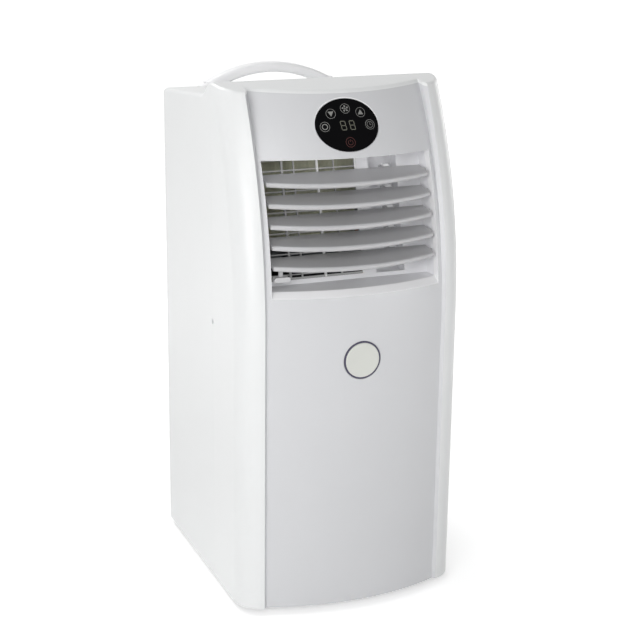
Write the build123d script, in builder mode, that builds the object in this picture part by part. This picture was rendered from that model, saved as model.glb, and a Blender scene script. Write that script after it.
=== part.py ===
from build123d import *
from math import acos, asin, atan, cos, degrees, radians, sin, sqrt
import os

# Case: overall sizes, in millimetres, with X across, Y from front to rear and Z up from the floor
case_width = 316
case_top = 700
rear_face = 183
floor_gap = 10
wall = 2.8
hood_wall = 4
hood_slope = 8
edge_round = 6
seam_y = -43.5
seam_gap = 0.3
fit_gap = 0.3
seat_gap = 0.1

# Front moulding: two proud columns beside a bowed panel, upright below and leaning back above
column_width = 30.75
column_face = -164.5
column_corner = 38
column_bevel = 4.25
column_lean_radius = 610
panel_foot = -160.5
panel_crown = -183
panel_lean_radius = 550
lean_below_top = 304
lean_overrun = 1.05

# Rear moulding: hood ramp, sloping deck and rear corners
ramp_start = seam_y + 2
ramp_length = 44
ramp_top_ease = 0.5
ramp_foot_ease = 0.45
deck_front_drop = 20
deck_rear_drop = 38
rear_corner = 18

# Carry handle and the finger well below it
handle_half_span = 106
handle_rise = 31.7
handle_inner_half_span = 73
handle_inner_rise = 17.5
handle_depth = 22
handle_edge_round = 5
handle_peg = 8
handle_heel = 3
peg_margin = 4
well_front_margin = 26
well_depth = 30
well_corner = 12

# Louvre window, measured down from the top of the case
window_margin = 6
window_top_drop = 89
window_bottom_drop = 252
window_rim = 11
window_jamb = 3
window_sill_rise = 7
window_sill_depth = 10

# Control lens and badge
lens_width = 86.4
lens_height = 70.6
lens_drop = 49
lens_seat_bevel = 0.8
lens_thickness = 2.2
lens_proud = 0.4
badge_diameter = 51
badge_height = 354
badge_gap = 0.7
badge_thickness = 3
badge_recess = 1.8
badge_ring = 2.2
badge_ring_height = 1.5
badge_lip = 1.2
badge_dish = 0.9
board_width = 92
board_height = 62
board_depth = 14
board_thickness = 1.6
board_margin = 5

# Louvre blades, their thumb tab and the bar that links them
louvre_count = 5
louvre_pitch = 25.7
louvre_top_drop = 119.5
louvre_tilt = 9
louvre_end_gap = 4.5
louvre_chord = 28
louvre_bow = 20
louvre_nose = 7
louvre_nose_flat = 0.4
louvre_tail = 2.4
louvre_setback = 4
louvre_pivot_back = 17
pivot_radius = 2.4
pivot_gap = 0.15
tab_width = 22
tab_height = 6.5
tab_depth = 9
tab_drop = 13.8
tab_stem_width = 5
tab_stem_depth = 3
link_x = 62
link_thickness = 8
link_width = 6
link_reach = 6.5
link_pin_radius = 2
link_eye_radius = 4.6
link_mouth = 3.2
link_bar_back = 6
link_ear = 3
link_play = 1

# Outlet duct behind the window, with its guard
duct_wall = 2.5
duct_depth = 33
duct_pocket_x = 63.5
duct_pocket_width = 41
duct_pocket_depth = 17
guard_right = 26.4
guard_margin = 6
guard_thickness = 3
guard_bar = 2.6
guard_thin_bar = 1.6
guard_bars = (55, 104)
guard_thin_bars = (29.5, 91.5)
guard_rows = 5

# Base pan, castors and the deck between the two compartments
base_clearance = 0.4
base_raise = 2
base_floor = 3
base_wall = 2.5
base_wall_height = 35
foot_boss_height = 5
drain_raise = 9
castor_radius = 19
castor_width = 16
castor_hub_radius = 13.3
castor_tyre_round = 2.4
castor_crown_radius = 14.25
castor_trail = 14
castor_side_margin = 46
castor_front_margin = 59
castor_rear_margin = 47.5
castor_swing_gap = 4
castor_cheek = 3
castor_crown = 4
castor_stem_radius = 4
castor_axle_radius = 2.5
castor_lug_radius = 6.4
castor_run_gap = 0.5
castor_pocket_roof = 47
mid_deck_drop = 28
mid_deck_thickness = 3
mid_deck_inset = 1.5
deck_ledge_depth = 8

# Evaporator side, above the deck
coil_fin_pitch = 4
coil_fin_groove = 2.2
coil_groove_depth = 5
coil_plate = 1.5
coil_tube_radius = 4
coil_bend_pitch = 22
evaporator_left = -128
evaporator_right = 32
evaporator_front = -73.5
evaporator_depth = 28
evaporator_height = 158
evaporator_raise = 35
tray_wall = 2.5
tray_height = 24
tray_margin = 6
upper_wheel_radius = 52
upper_wheel_length = 100
upper_blower_y = 52
upper_blower_rise = 117
upper_motor_radius = 34
upper_motor_length = 56
upper_scroll_shift = -38
upper_scroll_gap = 8
upper_scroll_growth = 22
upper_coil_gap = 8
upper_shaft_reach = 30
upper_leg_half = 42

# Condenser side, below the deck
condenser_half = 116
condenser_back_margin = 29.5
condenser_depth = 26
condenser_raise = 12
condenser_top_gap = 18
lower_wheel_radius = 56
lower_wheel_length = 50
lower_motor_radius = 36
lower_motor_length = 50
lower_blower_inset = 90
lower_blower_drop = 115
lower_scroll_gap = 6
lower_scroll_growth = 16
lower_coil_gap = 14
lower_shaft_reach = 36
lower_leg_span = (2, 48)
blower_blades = 24
blower_blade = 12
blower_blade_thickness = 1.5
blower_blade_angle = 35
blower_wall = 2
blower_end_gap = 6
blower_inlet_lap = 8
motor_flange = 3
motor_flange_lap = 6
motor_post = 8
motor_bore_share = 0.8
shaft_radius = 4
shaft_gap = 0.1
exhaust_bore = 62
exhaust_wall = 4
exhaust_length = 25
exhaust_flange = 6
exhaust_drop = 78
exhaust_duct_height = 140
exhaust_deck_gap = 8
exhaust_shift = 2
exhaust_side_gap = 6
compressor_inset = 80
compressor_y = -2
compressor_radius = 54
compressor_height = 218
compressor_foot_radius = 68
compressor_foot_plate = 3
can_foot_round = 8
can_dome = 24
can_shoulder = 0.72
can_shoulder_drop = 6
can_stub = 10
foot_bolt_radius = 3
foot_bolt_gap = 0.2
foot_nut_radius = 6
foot_nut_height = 4
grommet_radius = 9
grommet_height = 8
accumulator_radius = 22
accumulator_height = 130
accumulator_gap = 6
accumulator_raise = 55
accumulator_strap_width = 16
accumulator_strap_height = 20
suction_shift = 56
suction_bend_drop = 60
suction_entry_drop = 30
suction_port_rise = 2
discharge_rise = 50
discharge_inset = 18
pipe_bend = 2.2

# Control box above the deck
box_inset = 10
box_width = 76
box_front_gap = 8
box_rear_margin = 75
box_height = 130
box_wall = 2
box_board_gap = 6
box_board_raise = 6
box_post_radius = 3
capacitor_bay = 40
capacitor_radius = 17
capacitor_height = 70
capacitor_edge = 2
transformer_size = (30, 32, 30)
terminal_size = (16, 40, 18)

# Rear openings and service pieces
grille_half = 104
grille_edge = 8
grille_thickness = 4
grille_slat_pitch = 13
grille_slat = 5
filter_depth = 6
filter_sheet = 0.8
filter_trim = 1
gland_radius = 9
gland_bore = 4.2
gland_rim = 4
gland_inset = 30
gland_drop = 120
drain_bore = 6
drain_plug_rim = 10
screw_height = 382
screw_head_radius = 3.6
screw_head_height = 2
screw_radius = 1.8
screw_length = 12
screw_tab = 8
pipe_radius = 4

# Values worked out from the sizes above
half_width = case_width / 2
column_inner = half_width - column_width
panel_half = column_inner - column_bevel
lean_start = case_top - lean_below_top
roof_plane = Plane(
    origin=(0, seam_y, case_top),
    x_dir=(1, 0, 0),
    z_dir=(0, -sin(radians(hood_slope)), cos(radians(hood_slope))),
)
window_half = panel_half - window_margin
window_top = case_top - window_top_drop
window_bottom = case_top - window_bottom_drop
deck_front = case_top - deck_front_drop
deck_rear = case_top - deck_rear_drop
inner_half = half_width - wall
inner_rear = rear_face - wall
overshoot = 20

turn_to = {"X": (0, 90, 0), "Y": (-90, 0, 0), "Z": (0, 0, 0)}
from_start = (Align.CENTER, Align.CENTER, Align.MIN)


def span_box(x_span, y_span, z_span, mode=Mode.ADD):
    """Box between two limits on each axis."""
    spans = (x_span, y_span, z_span)
    with Locations(tuple((low + high) / 2 for low, high in spans)):
        Box(*(high - low for low, high in spans), mode=mode)


def drum(axis, start, radius, length, mode=Mode.ADD):
    """Cylinder that starts at a point and runs along a positive axis."""
    with Locations(Location(start, turn_to[axis])):
        Cylinder(radius, length, align=from_start, mode=mode)


def front_line(face, lean_radius, z):
    """Depth of a front line that is upright at first and then leans back on an arc."""
    rise = max(z - lean_start, 0)
    return face + lean_radius - sqrt(lean_radius**2 - rise**2)


def panel_depth(x, z):
    """Depth of the bowed panel's face at a point of the front view."""
    bow = panel_foot - panel_crown
    bow_radius = (panel_half**2 + bow**2) / (2 * bow)
    set_back = bow_radius - sqrt(bow_radius**2 - x**2)
    return front_line(panel_crown + set_back, panel_lean_radius - set_back, z)


def panel_plan(inset, block_half, rear):
    """Plan of the solid behind the bowed panel, where its lean starts."""
    side = panel_depth(block_half, lean_start) + inset
    with BuildSketch(Plane.XY.offset(lean_start)) as plan:
        with BuildLine():
            ThreePointArc((-block_half, side), (0, panel_crown + inset), (block_half, side))
            Polyline((block_half, side), (block_half, rear), (-block_half, rear), (-block_half, side))
        make_face()
    return plan.sketch


def column_plan(inset, inner, rear):
    """Plan of the right-hand column where its lean starts: one broad arc from the side round to the bevel."""
    outer = half_width - inset
    radius = column_corner - inset
    turn_x = outer - radius
    turn_y = column_face + column_corner
    sweep = acos((inner - turn_x) / radius)
    front = turn_y - radius * sin(sweep)
    arc_middle = (turn_x + radius * cos(sweep / 2), turn_y - radius * sin(sweep / 2))
    with BuildSketch(Plane.XY.offset(lean_start)) as plan:
        with BuildLine():
            ThreePointArc((outer, turn_y), arc_middle, (inner, front))
            Polyline(
                (inner, front),
                (inner - column_bevel, front + column_bevel),
                (inner - column_bevel, rear),
                (outer, rear),
                (outer, turn_y),
            )
        make_face()
    return plan.sketch


def front_block(plan, lean_axis_y, bottom, rear):
    """Plan drawn down to the bottom and turned back about a level axis up to the hood's sloping roof."""
    lean_sweep = lean_overrun * degrees(asin(lean_below_top / (lean_axis_y - rear)))
    lean_axis = Axis((0, lean_axis_y, lean_start), (-1, 0, 0))
    with BuildPart() as block:
        extrude(plan, amount=bottom - lean_start)
        revolve(plan, axis=lean_axis, revolution_arc=lean_sweep)
        behind = (rear, rear + case_top)
        span_box((-case_width, case_width), behind, (bottom, 2 * case_top), mode=Mode.SUBTRACT)
        split(bisect_by=roof_plane, keep=Keep.BOTTOM)
    return block.part


def panel_block(inset, block_half, bottom=floor_gap, rear=seam_y):
    """Solid behind the bowed panel's face, set back by an inset."""
    return front_block(panel_plan(inset, block_half, rear), panel_crown + panel_lean_radius, bottom, rear)


def column_block(inset, inner, bottom=floor_gap, rear=seam_y):
    """Right-hand column, set back by an inset."""
    return front_block(column_plan(inset, inner, rear), column_face + column_lean_radius, bottom, rear)


def rounded_top(block, chooser):
    """The block with chosen edges of its top face rounded."""
    with BuildPart() as rounded:
        add(block)
        top_edges = rounded.faces().sort_by(Axis.Z)[-1].edges()
        fillet(top_edges.filter_by(chooser), edge_round)
    return rounded.part


# Front moulding
front_rear = seam_y - seam_gap / 2
panel_body = rounded_top(
    panel_block(0, column_inner - 1, rear=front_rear),
    lambda edge: abs(edge.center().X) < 1 and edge.center().Y < front_rear - wall,
)
right_column = rounded_top(
    column_block(0, column_inner, rear=front_rear),
    lambda edge: edge.center().X > column_inner + 1 and edge.center().Y < front_rear - wall,
)
cavity_limits = {"bottom": floor_gap - overshoot, "rear": seam_y + overshoot}
panel_cavity = panel_block(wall, column_inner + 1, **cavity_limits)
column_cavity = column_block(wall, column_inner + wall, **cavity_limits)
with BuildPart() as front_cavity:
    add(column_cavity)
    mirror(about=Plane.YZ)
    add(panel_cavity)
    split(bisect_by=roof_plane.offset(-hood_wall), keep=Keep.BOTTOM)


def window_rim_band():
    """Thick frame behind the panel all round the louvre window."""
    with BuildPart() as band:
        add(panel_body)
        add(panel_rim_cavity, mode=Mode.SUBTRACT)
        span_box(
            (-window_half - window_jamb, window_half + window_jamb),
            (-case_width, seam_y),
            (window_bottom - window_rim, window_top + window_jamb),
            mode=Mode.INTERSECT,
        )
    return band.part


def front_plan(z, inset):
    """Level slice of the open space before the panel, inside the window's width."""
    side = panel_depth(window_half, z) + inset
    crown = panel_depth(0, z) + inset
    ahead = panel_crown - overshoot
    with BuildSketch(Plane.XY.offset(z)) as plan:
        with BuildLine():
            ThreePointArc((-window_half, side), (0, crown), (window_half, side))
            Polyline((window_half, side), (window_half, ahead), (-window_half, ahead), (-window_half, side))
        make_face()
    return plan.sketch


# Control lens: its place, its leaning plane and the cut that both shells take from it
lens_z = case_top - lens_drop
lens_lean = degrees(asin((lens_z - lean_start) / panel_lean_radius))
lens_plane = Plane(
    origin=(0, panel_depth(0, lens_z), lens_z),
    x_dir=(1, 0, 0),
    z_dir=(0, -cos(radians(lens_lean)), sin(radians(lens_lean))),
)


def lens_prism(margin, reach):
    """Oval prism square to the panel at the lens, reaching both ways."""
    with BuildPart() as prism:
        with BuildSketch(lens_plane):
            Ellipse(lens_width / 2 + margin, lens_height / 2 + margin)
        extrude(amount=reach, both=True)
    return prism.part


rim_depth = window_sill_depth + wall
panel_rim_cavity = panel_block(rim_depth, column_inner + 1, **cavity_limits)
window_rim_solid = window_rim_band()
sill_bevel = loft(
    [front_plan(window_bottom - window_sill_rise, 0), front_plan(window_bottom, window_sill_depth)],
    ruled=True,
    mode=Mode.PRIVATE,
)
lens_opening = lens_prism(fit_gap, overshoot)
with BuildPart() as front_shell:
    add(panel_body)
    add(right_column)
    add(mirror(right_column, about=Plane.YZ, mode=Mode.PRIVATE))
    add(front_cavity.part, mode=Mode.SUBTRACT)
    add(window_rim_solid)
    span_box((-window_half, window_half), (-case_width, 0), (window_bottom, window_top), mode=Mode.SUBTRACT)
    add(sill_bevel, mode=Mode.SUBTRACT)
    add(lens_opening, mode=Mode.SUBTRACT)
    seat_edges = front_shell.edges().sort_by_distance(lens_plane.origin)[:2]
    chamfer(seat_edges.sort_by(Axis.Y)[0], lens_seat_bevel)
    drum("Y", (0, panel_crown - overshoot, badge_height), badge_diameter / 2 + badge_gap,
         overshoot + badge_recess, mode=Mode.SUBTRACT)


# Rear moulding
def rear_block(inset, front, bottom):
    """Solid inside the rear shell: ramp behind the hood, sloping deck, upright back, rounded edges."""
    ramp_end = (ramp_start + ramp_length, deck_front - inset)
    deck_slope = (deck_rear - deck_front) / (rear_face - ramp_end[0])
    back = rear_face - inset
    deck_end = (back, ramp_end[1] + deck_slope * (back - ramp_end[0]))
    top = case_top - inset
    side = half_width - inset
    foot_ease = ramp_length * ramp_foot_ease
    with BuildPart() as block:
        with BuildSketch(Plane.YZ):
            with BuildLine():
                Polyline(deck_end, (back, bottom), (front, bottom), (front, top), (ramp_start, top))
                Bezier(
                    (ramp_start, top),
                    (ramp_start + ramp_length * ramp_top_ease, top),
                    (ramp_end[0] - foot_ease, ramp_end[1] - deck_slope * foot_ease),
                    ramp_end,
                )
                Line(ramp_end, deck_end)
            make_face()
        extrude(amount=side, both=True)
        upright = block.edges().filter_by(Axis.Z).sort_by(Axis.Y)[-2:]
        fillet(upright, rear_corner - inset)
        rim = block.edges().filter_by(
            lambda edge: edge.center().Z > deck_rear - rear_corner
            and edge.center().Y > front + 1
            and (abs(edge.center().X) > side - rear_corner or edge.center().Y > back - 1)
        )
        fillet(rim, edge_round - inset)
    return block.part


handle_front = rear_face - handle_depth
peg_half_width = (handle_half_span - handle_inner_half_span) / 4
peg_x = (handle_half_span + handle_inner_half_span) / 2
well_front = handle_front - well_front_margin
well_floor = deck_rear - well_depth


def handle_pegs(margin):
    """Two pegs below the handle's feet, widened all round by a margin."""
    with BuildPart() as pegs:
        for side in (-1, 1):
            span_box(
                (side * peg_x - peg_half_width - margin, side * peg_x + peg_half_width + margin),
                (handle_front + peg_margin - margin, rear_face - edge_round - peg_margin + margin),
                (deck_rear - handle_peg - margin, deck_rear + handle_peg),
            )
    return pegs.part


with BuildPart() as finger_well:
    with BuildSketch(Plane.YZ) as well_side:
        with BuildLine():
            Polyline(
                (well_front, case_top),
                (well_front, well_floor),
                (rear_face + overshoot, well_floor),
                (rear_face + overshoot, case_top),
                (well_front, case_top),
            )
        make_face()
        fillet(well_side.vertices().group_by(Axis.Y)[0].sort_by(Axis.X)[0], well_corner)
    extrude(amount=handle_inner_half_span, both=True)

rear_outer = rear_block(0, seam_y + seam_gap / 2, floor_gap)
rear_hollow = rear_block(wall, seam_y - overshoot, floor_gap - overshoot)

# Louvre window's geometry: the leaning back wall of the duct and the blade positions
back_bottom = panel_depth(window_half, window_bottom) + duct_depth
back_top = panel_depth(window_half, window_top) + duct_depth
back_lean = atan((back_top - back_bottom) / (window_top - window_bottom))
back_middle = (window_bottom + window_top) / 2
back_length = (window_top - window_bottom) / cos(back_lean)
back_plane = Plane(
    origin=(0, (back_bottom + back_top) / 2, back_middle),
    x_dir=(1, 0, 0),
    z_dir=(0, -cos(back_lean), sin(back_lean)),
)
louvre_half = window_half - louvre_end_gap
tilt = radians(louvre_tilt)
louvre_pivots = []
for blade in range(louvre_count):
    front_z = case_top - louvre_top_drop - louvre_pitch * blade
    front_y = panel_depth(louvre_half, front_z) + louvre_setback
    louvre_pivots.append((front_y + louvre_pivot_back * cos(tilt), front_z + louvre_pivot_back * sin(tilt)))
louvre_tail_back = louvre_chord - louvre_pivot_back
link_back = louvre_tail_back + link_reach


# Louvre blades
def louvre(pivot, with_tab):
    """Bowed blade with a round nose, end pivots and the ear and pin for the link bar."""
    pivot_y, pivot_z = pivot
    blade_plane = Plane(origin=(0, pivot_y, pivot_z), x_dir=(1, 0, 0), z_dir=(0, -sin(tilt), cos(tilt)))
    side_plane = Plane(origin=(0, pivot_y, pivot_z), x_dir=(0, cos(tilt), sin(tilt)), z_dir=(1, 0, 0))
    front_end = -louvre_pivot_back
    front_middle = front_end - louvre_bow
    half_nose = louvre_nose / 2
    with BuildPart() as blade:
        with BuildSketch(blade_plane.offset(-half_nose)):
            with BuildLine():
                ThreePointArc((-louvre_half, front_end), (0, front_middle), (louvre_half, front_end))
                Polyline(
                    (louvre_half, front_end),
                    (louvre_half, louvre_tail_back),
                    (-louvre_half, louvre_tail_back),
                    (-louvre_half, front_end),
                )
            make_face()
        extrude(amount=louvre_nose)
        nose_edges = blade.edges().filter_by(GeomType.CIRCLE)
        fillet(nose_edges, half_nose - louvre_nose_flat / 2)
        with BuildSketch(side_plane):
            with BuildLine():
                Polyline(
                    (front_end - louvre_bow / 2, -half_nose),
                    (louvre_tail_back, half_nose - louvre_tail),
                    (louvre_tail_back + 1, half_nose - louvre_tail),
                    (louvre_tail_back + 1, -louvre_nose),
                    (front_end - louvre_bow / 2, -louvre_nose),
                    close=True,
                )
            make_face()
        extrude(amount=half_width, both=True, mode=Mode.SUBTRACT)
        for side in (-1, 1):
            pin_start = min(side * (louvre_half - 1), side * (window_half + duct_wall))
            pin_length = window_half + duct_wall - louvre_half + 1
            drum("X", (pin_start, pivot_y, pivot_z), pivot_radius, pin_length)
        ear_plane = side_plane.offset(link_x - link_play - link_ear)
        with BuildSketch(ear_plane):
            with Locations((link_back - link_reach / 2, half_nose - louvre_tail)):
                SlotOverall(link_reach + 4 * link_pin_radius, 2 * louvre_tail)
        extrude(amount=link_ear)
        with BuildSketch(ear_plane):
            with Locations((link_back, half_nose - louvre_tail)):
                Circle(link_pin_radius)
        extrude(amount=link_ear + link_thickness + 2 * link_play)
        if with_tab:
            tab_left = -louvre_half + 1
            tab_plane = Plane(
                origin=(tab_left + tab_width / 2, pivot_y - louvre_pivot_back, pivot_z),
                x_dir=(1, 0, 0),
                z_dir=(0, 1, 0),
            )
            with BuildSketch(tab_plane):
                with Locations((0, tab_drop + half_nose)):
                    SlotOverall(tab_width, tab_height)
            extrude(amount=tab_depth)
            with BuildSketch(tab_plane.offset(tab_depth - tab_stem_depth)):
                with Locations((0, (tab_drop + half_nose) / 2)):
                    Rectangle(tab_stem_width, tab_drop + half_nose)
            extrude(amount=tab_stem_depth)
    return blade.part


louvres = [louvre(pivot, number == louvre_count - 1) for number, pivot in enumerate(louvre_pivots)]
link_offset_y = link_back * cos(tilt) - (louvre_nose / 2 - louvre_tail) * sin(tilt)
link_offset_z = link_back * sin(tilt) + (louvre_nose / 2 - louvre_tail) * cos(tilt)
link_pins = [(y + link_offset_y, z + link_offset_z) for y, z in louvre_pivots]
with BuildPart() as louvre_link:
    with BuildSketch(Plane.YZ.offset(link_x)):
        for (low_y, low_z), (high_y, high_z) in zip(link_pins[1:], link_pins[:-1]):
            run = Vector(high_y - low_y, high_z - low_z)
            with Locations(((low_y + high_y) / 2 + link_bar_back, (low_z + high_z) / 2)):
                SlotCenterToCenter(run.length, link_width, rotation=degrees(atan(run.Y / run.X)))
        with Locations(*link_pins):
            Circle(link_eye_radius)
        with Locations(*link_pins):
            Circle(link_pin_radius + pivot_gap, mode=Mode.SUBTRACT)
        with Locations(*((y - link_eye_radius, z) for y, z in link_pins)):
            Rectangle(2 * link_eye_radius, link_mouth, mode=Mode.SUBTRACT)
    extrude(amount=link_thickness)

# Outlet duct: box behind the window, open to the front, with a pocket for the link bar
with BuildPart() as air_space:
    span_box((-window_half, window_half), (-case_width, seam_y), (window_bottom, window_top))
    with BuildSketch(back_plane):
        Rectangle(case_width, case_top)
    extrude(amount=-case_width, mode=Mode.SUBTRACT)
duct_body = panel_block(rim_depth + fit_gap, window_half + duct_wall)
guard_left = guard_margin - window_half
guard_width = guard_right - guard_left
guard_x = (guard_left + guard_right) / 2
guard_height = back_length - 2 * guard_margin
with BuildPart() as outlet_duct:
    add(duct_body)
    span_box(
        (-case_width, case_width),
        (-case_width, case_width),
        (window_bottom - duct_wall, window_top + duct_wall),
        mode=Mode.INTERSECT,
    )
    with BuildSketch(back_plane.offset(-duct_wall)):
        Rectangle(case_width, case_top)
    extrude(amount=-case_width, mode=Mode.SUBTRACT)
    with BuildSketch(back_plane.offset(-duct_wall / 2)):
        with Locations((duct_pocket_x, 0)):
            Rectangle(duct_pocket_width + 2 * duct_wall, back_length - 2 * duct_wall)
    extrude(amount=-duct_pocket_depth - duct_wall / 2)
    add(air_space.part, mode=Mode.SUBTRACT)
    with BuildSketch(back_plane.offset(1)):
        with Locations((duct_pocket_x, 0)):
            Rectangle(duct_pocket_width, back_length - 4 * duct_wall)
    extrude(amount=-duct_pocket_depth - 1, mode=Mode.SUBTRACT)
    with BuildSketch(back_plane):
        with Locations((guard_x, 0)):
            Rectangle(guard_width, guard_height)
    extrude(amount=2 * duct_wall, both=True, mode=Mode.SUBTRACT)
    for pivot_y, pivot_z in louvre_pivots:
        drum("X", (-half_width, pivot_y, pivot_z), pivot_radius + pivot_gap, case_width, mode=Mode.SUBTRACT)

with BuildPart() as outlet_guard:
    with BuildSketch(back_plane) as guard_grid:
        with Locations((guard_x, 0)):
            Rectangle(guard_width - 2 * fit_gap, guard_height - 2 * fit_gap)
            Rectangle(guard_width - 2 * fit_gap - 2 * guard_bar, guard_height - 2 * fit_gap - 2 * guard_bar,
                      mode=Mode.SUBTRACT)
        for bar_width, bar_places in ((guard_bar, guard_bars), (guard_thin_bar, guard_thin_bars)):
            with Locations(*((guard_right - place, 0) for place in bar_places)):
                Rectangle(bar_width, guard_height - guard_bar)
        with Locations((guard_x, 0)):
            with GridLocations(0, guard_height / (guard_rows + 1), 1, guard_rows):
                Rectangle(guard_width - guard_bar, guard_thin_bar)
    extrude(amount=-guard_thickness)

# Control lens, its board and the badge
lens_front = panel_block(-lens_proud, column_inner - 1)
lens_back = panel_block(lens_thickness - lens_proud, column_inner + 1, **cavity_limits)
lens_oval = lens_prism(0, overshoot)
with BuildPart() as control_lens:
    add(lens_oval)
    add(lens_front, mode=Mode.INTERSECT)
    add(lens_back, mode=Mode.SUBTRACT)

badge_base = panel_crown + badge_recess - seat_gap
badge_radius = badge_diameter / 2
dish_edge = badge_radius - badge_ring
dish_half = dish_edge - badge_lip
dish_radius = (dish_half**2 + badge_dish**2) / (2 * badge_dish)
dish_bottom = badge_dish - badge_thickness
dish_sag = dish_radius - sqrt(dish_radius**2 - dish_half**2 / 4)
lip_bend = badge_lip * sqrt(0.5)
with BuildPart() as front_badge:
    with BuildSketch(Plane.XY * Location((0, badge_base, badge_height))):
        with BuildLine():
            Polyline(
                (0, dish_bottom),
                (0, 0),
                (badge_radius, 0),
                (badge_radius, -badge_ring_height),
                (dish_edge, -badge_ring_height),
                (dish_edge, badge_lip - badge_thickness),
            )
            ThreePointArc(
                (dish_edge, badge_lip - badge_thickness),
                (dish_half + lip_bend, badge_lip - badge_thickness - lip_bend),
                (dish_half, -badge_thickness),
            )
            ThreePointArc(
                (dish_half, -badge_thickness),
                (dish_half / 2, dish_bottom - dish_sag),
                (0, dish_bottom),
            )
        make_face()
    revolve(axis=Axis((0, 0, badge_height), (0, 1, 0)))

board_plane = lens_plane.offset(-board_depth)
board_posts_reach = panel_block(wall + fit_gap, column_inner + 1)
with BuildPart() as control_board_posts:
    with BuildSketch(board_plane):
        with GridLocations(board_width - 2 * board_margin, board_height - 2 * board_margin, 2, 2):
            Circle(board_margin - 1)
    extrude(amount=board_depth)
    add(board_posts_reach, mode=Mode.INTERSECT)
with BuildPart() as control_board:
    with BuildSketch(board_plane):
        Rectangle(board_width, board_height)
    extrude(amount=-board_thickness)
    with BuildSketch(board_plane):
        Rectangle(lens_width / 3, lens_height / 4)
    extrude(amount=board_depth / 2)
    add(control_board_posts.part)

# Base pan: floor, upstand and four castor pockets
base_bottom = floor_gap + base_raise
base_top = base_bottom + base_floor
base_side = inner_half - base_clearance
base_rear = inner_rear - base_clearance
base_front = panel_depth(column_inner + wall, floor_gap) + wall + base_clearance
base_crown = panel_crown + wall + base_clearance
base_corner = column_corner - wall - base_clearance
castor_x = half_width - castor_side_margin
castor_places = [
    (-castor_x, column_face + castor_front_margin),
    (castor_x, column_face + castor_front_margin),
    (-castor_x, rear_face - castor_rear_margin),
    (castor_x, rear_face - castor_rear_margin),
]
castor_pocket_radius = castor_trail + castor_radius + castor_swing_gap
compressor_x = half_width - compressor_inset
compressor_feet = [
    (
        compressor_x + compressor_foot_radius * cos(radians(angle)),
        compressor_y + compressor_foot_radius * sin(radians(angle)),
    )
    for angle in (90, 210, 330)
]
drain_z = base_top + drain_bore + drain_raise


def base_plan(z, inset):
    """Plan of the inside of the case, drawn in by an inset."""
    side = base_side - inset
    front = base_front + inset
    turn = side - base_corner
    bend = base_corner * (1 - sqrt(0.5))
    with BuildSketch(Plane.XY.offset(z)) as plan:
        with BuildLine():
            ThreePointArc((-turn, front), (0, base_crown + inset), (turn, front))
            ThreePointArc((turn, front), (side - bend, front + bend), (side, front + base_corner))
            Polyline(
                (side, front + base_corner),
                (side, base_rear - inset),
                (-side, base_rear - inset),
                (-side, front + base_corner),
            )
            ThreePointArc((-side, front + base_corner), (bend - side, front + bend), (-turn, front))
        make_face()
        fillet(plan.vertices().sort_by(Axis.Y)[-2:], rear_corner - wall)
    return plan.sketch


with BuildPart() as base_pan:
    extrude(base_plan(base_bottom, 0), amount=base_wall_height)
    extrude(base_plan(base_top, base_wall), amount=base_wall_height, mode=Mode.SUBTRACT)
    pocket_top = castor_pocket_roof + base_floor
    for x, y in castor_places:
        drum("Z", (x, y, base_bottom), castor_pocket_radius + base_wall, pocket_top - base_bottom)
    for x, y in compressor_feet:
        drum("Z", (x, y, base_bottom), grommet_radius, base_floor + foot_boss_height)
    for x, y in castor_places:
        drum("Z", (x, y, 0), castor_pocket_radius, castor_pocket_roof, mode=Mode.SUBTRACT)
        drum("Z", (x, y, 0), castor_stem_radius + pivot_gap, case_top, mode=Mode.SUBTRACT)
    drum("Y", (0, base_rear - base_wall, drain_z), drain_bore + base_wall, base_wall)
    drum("Y", (0, 0, drain_z), drain_bore, rear_face, mode=Mode.SUBTRACT)


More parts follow.
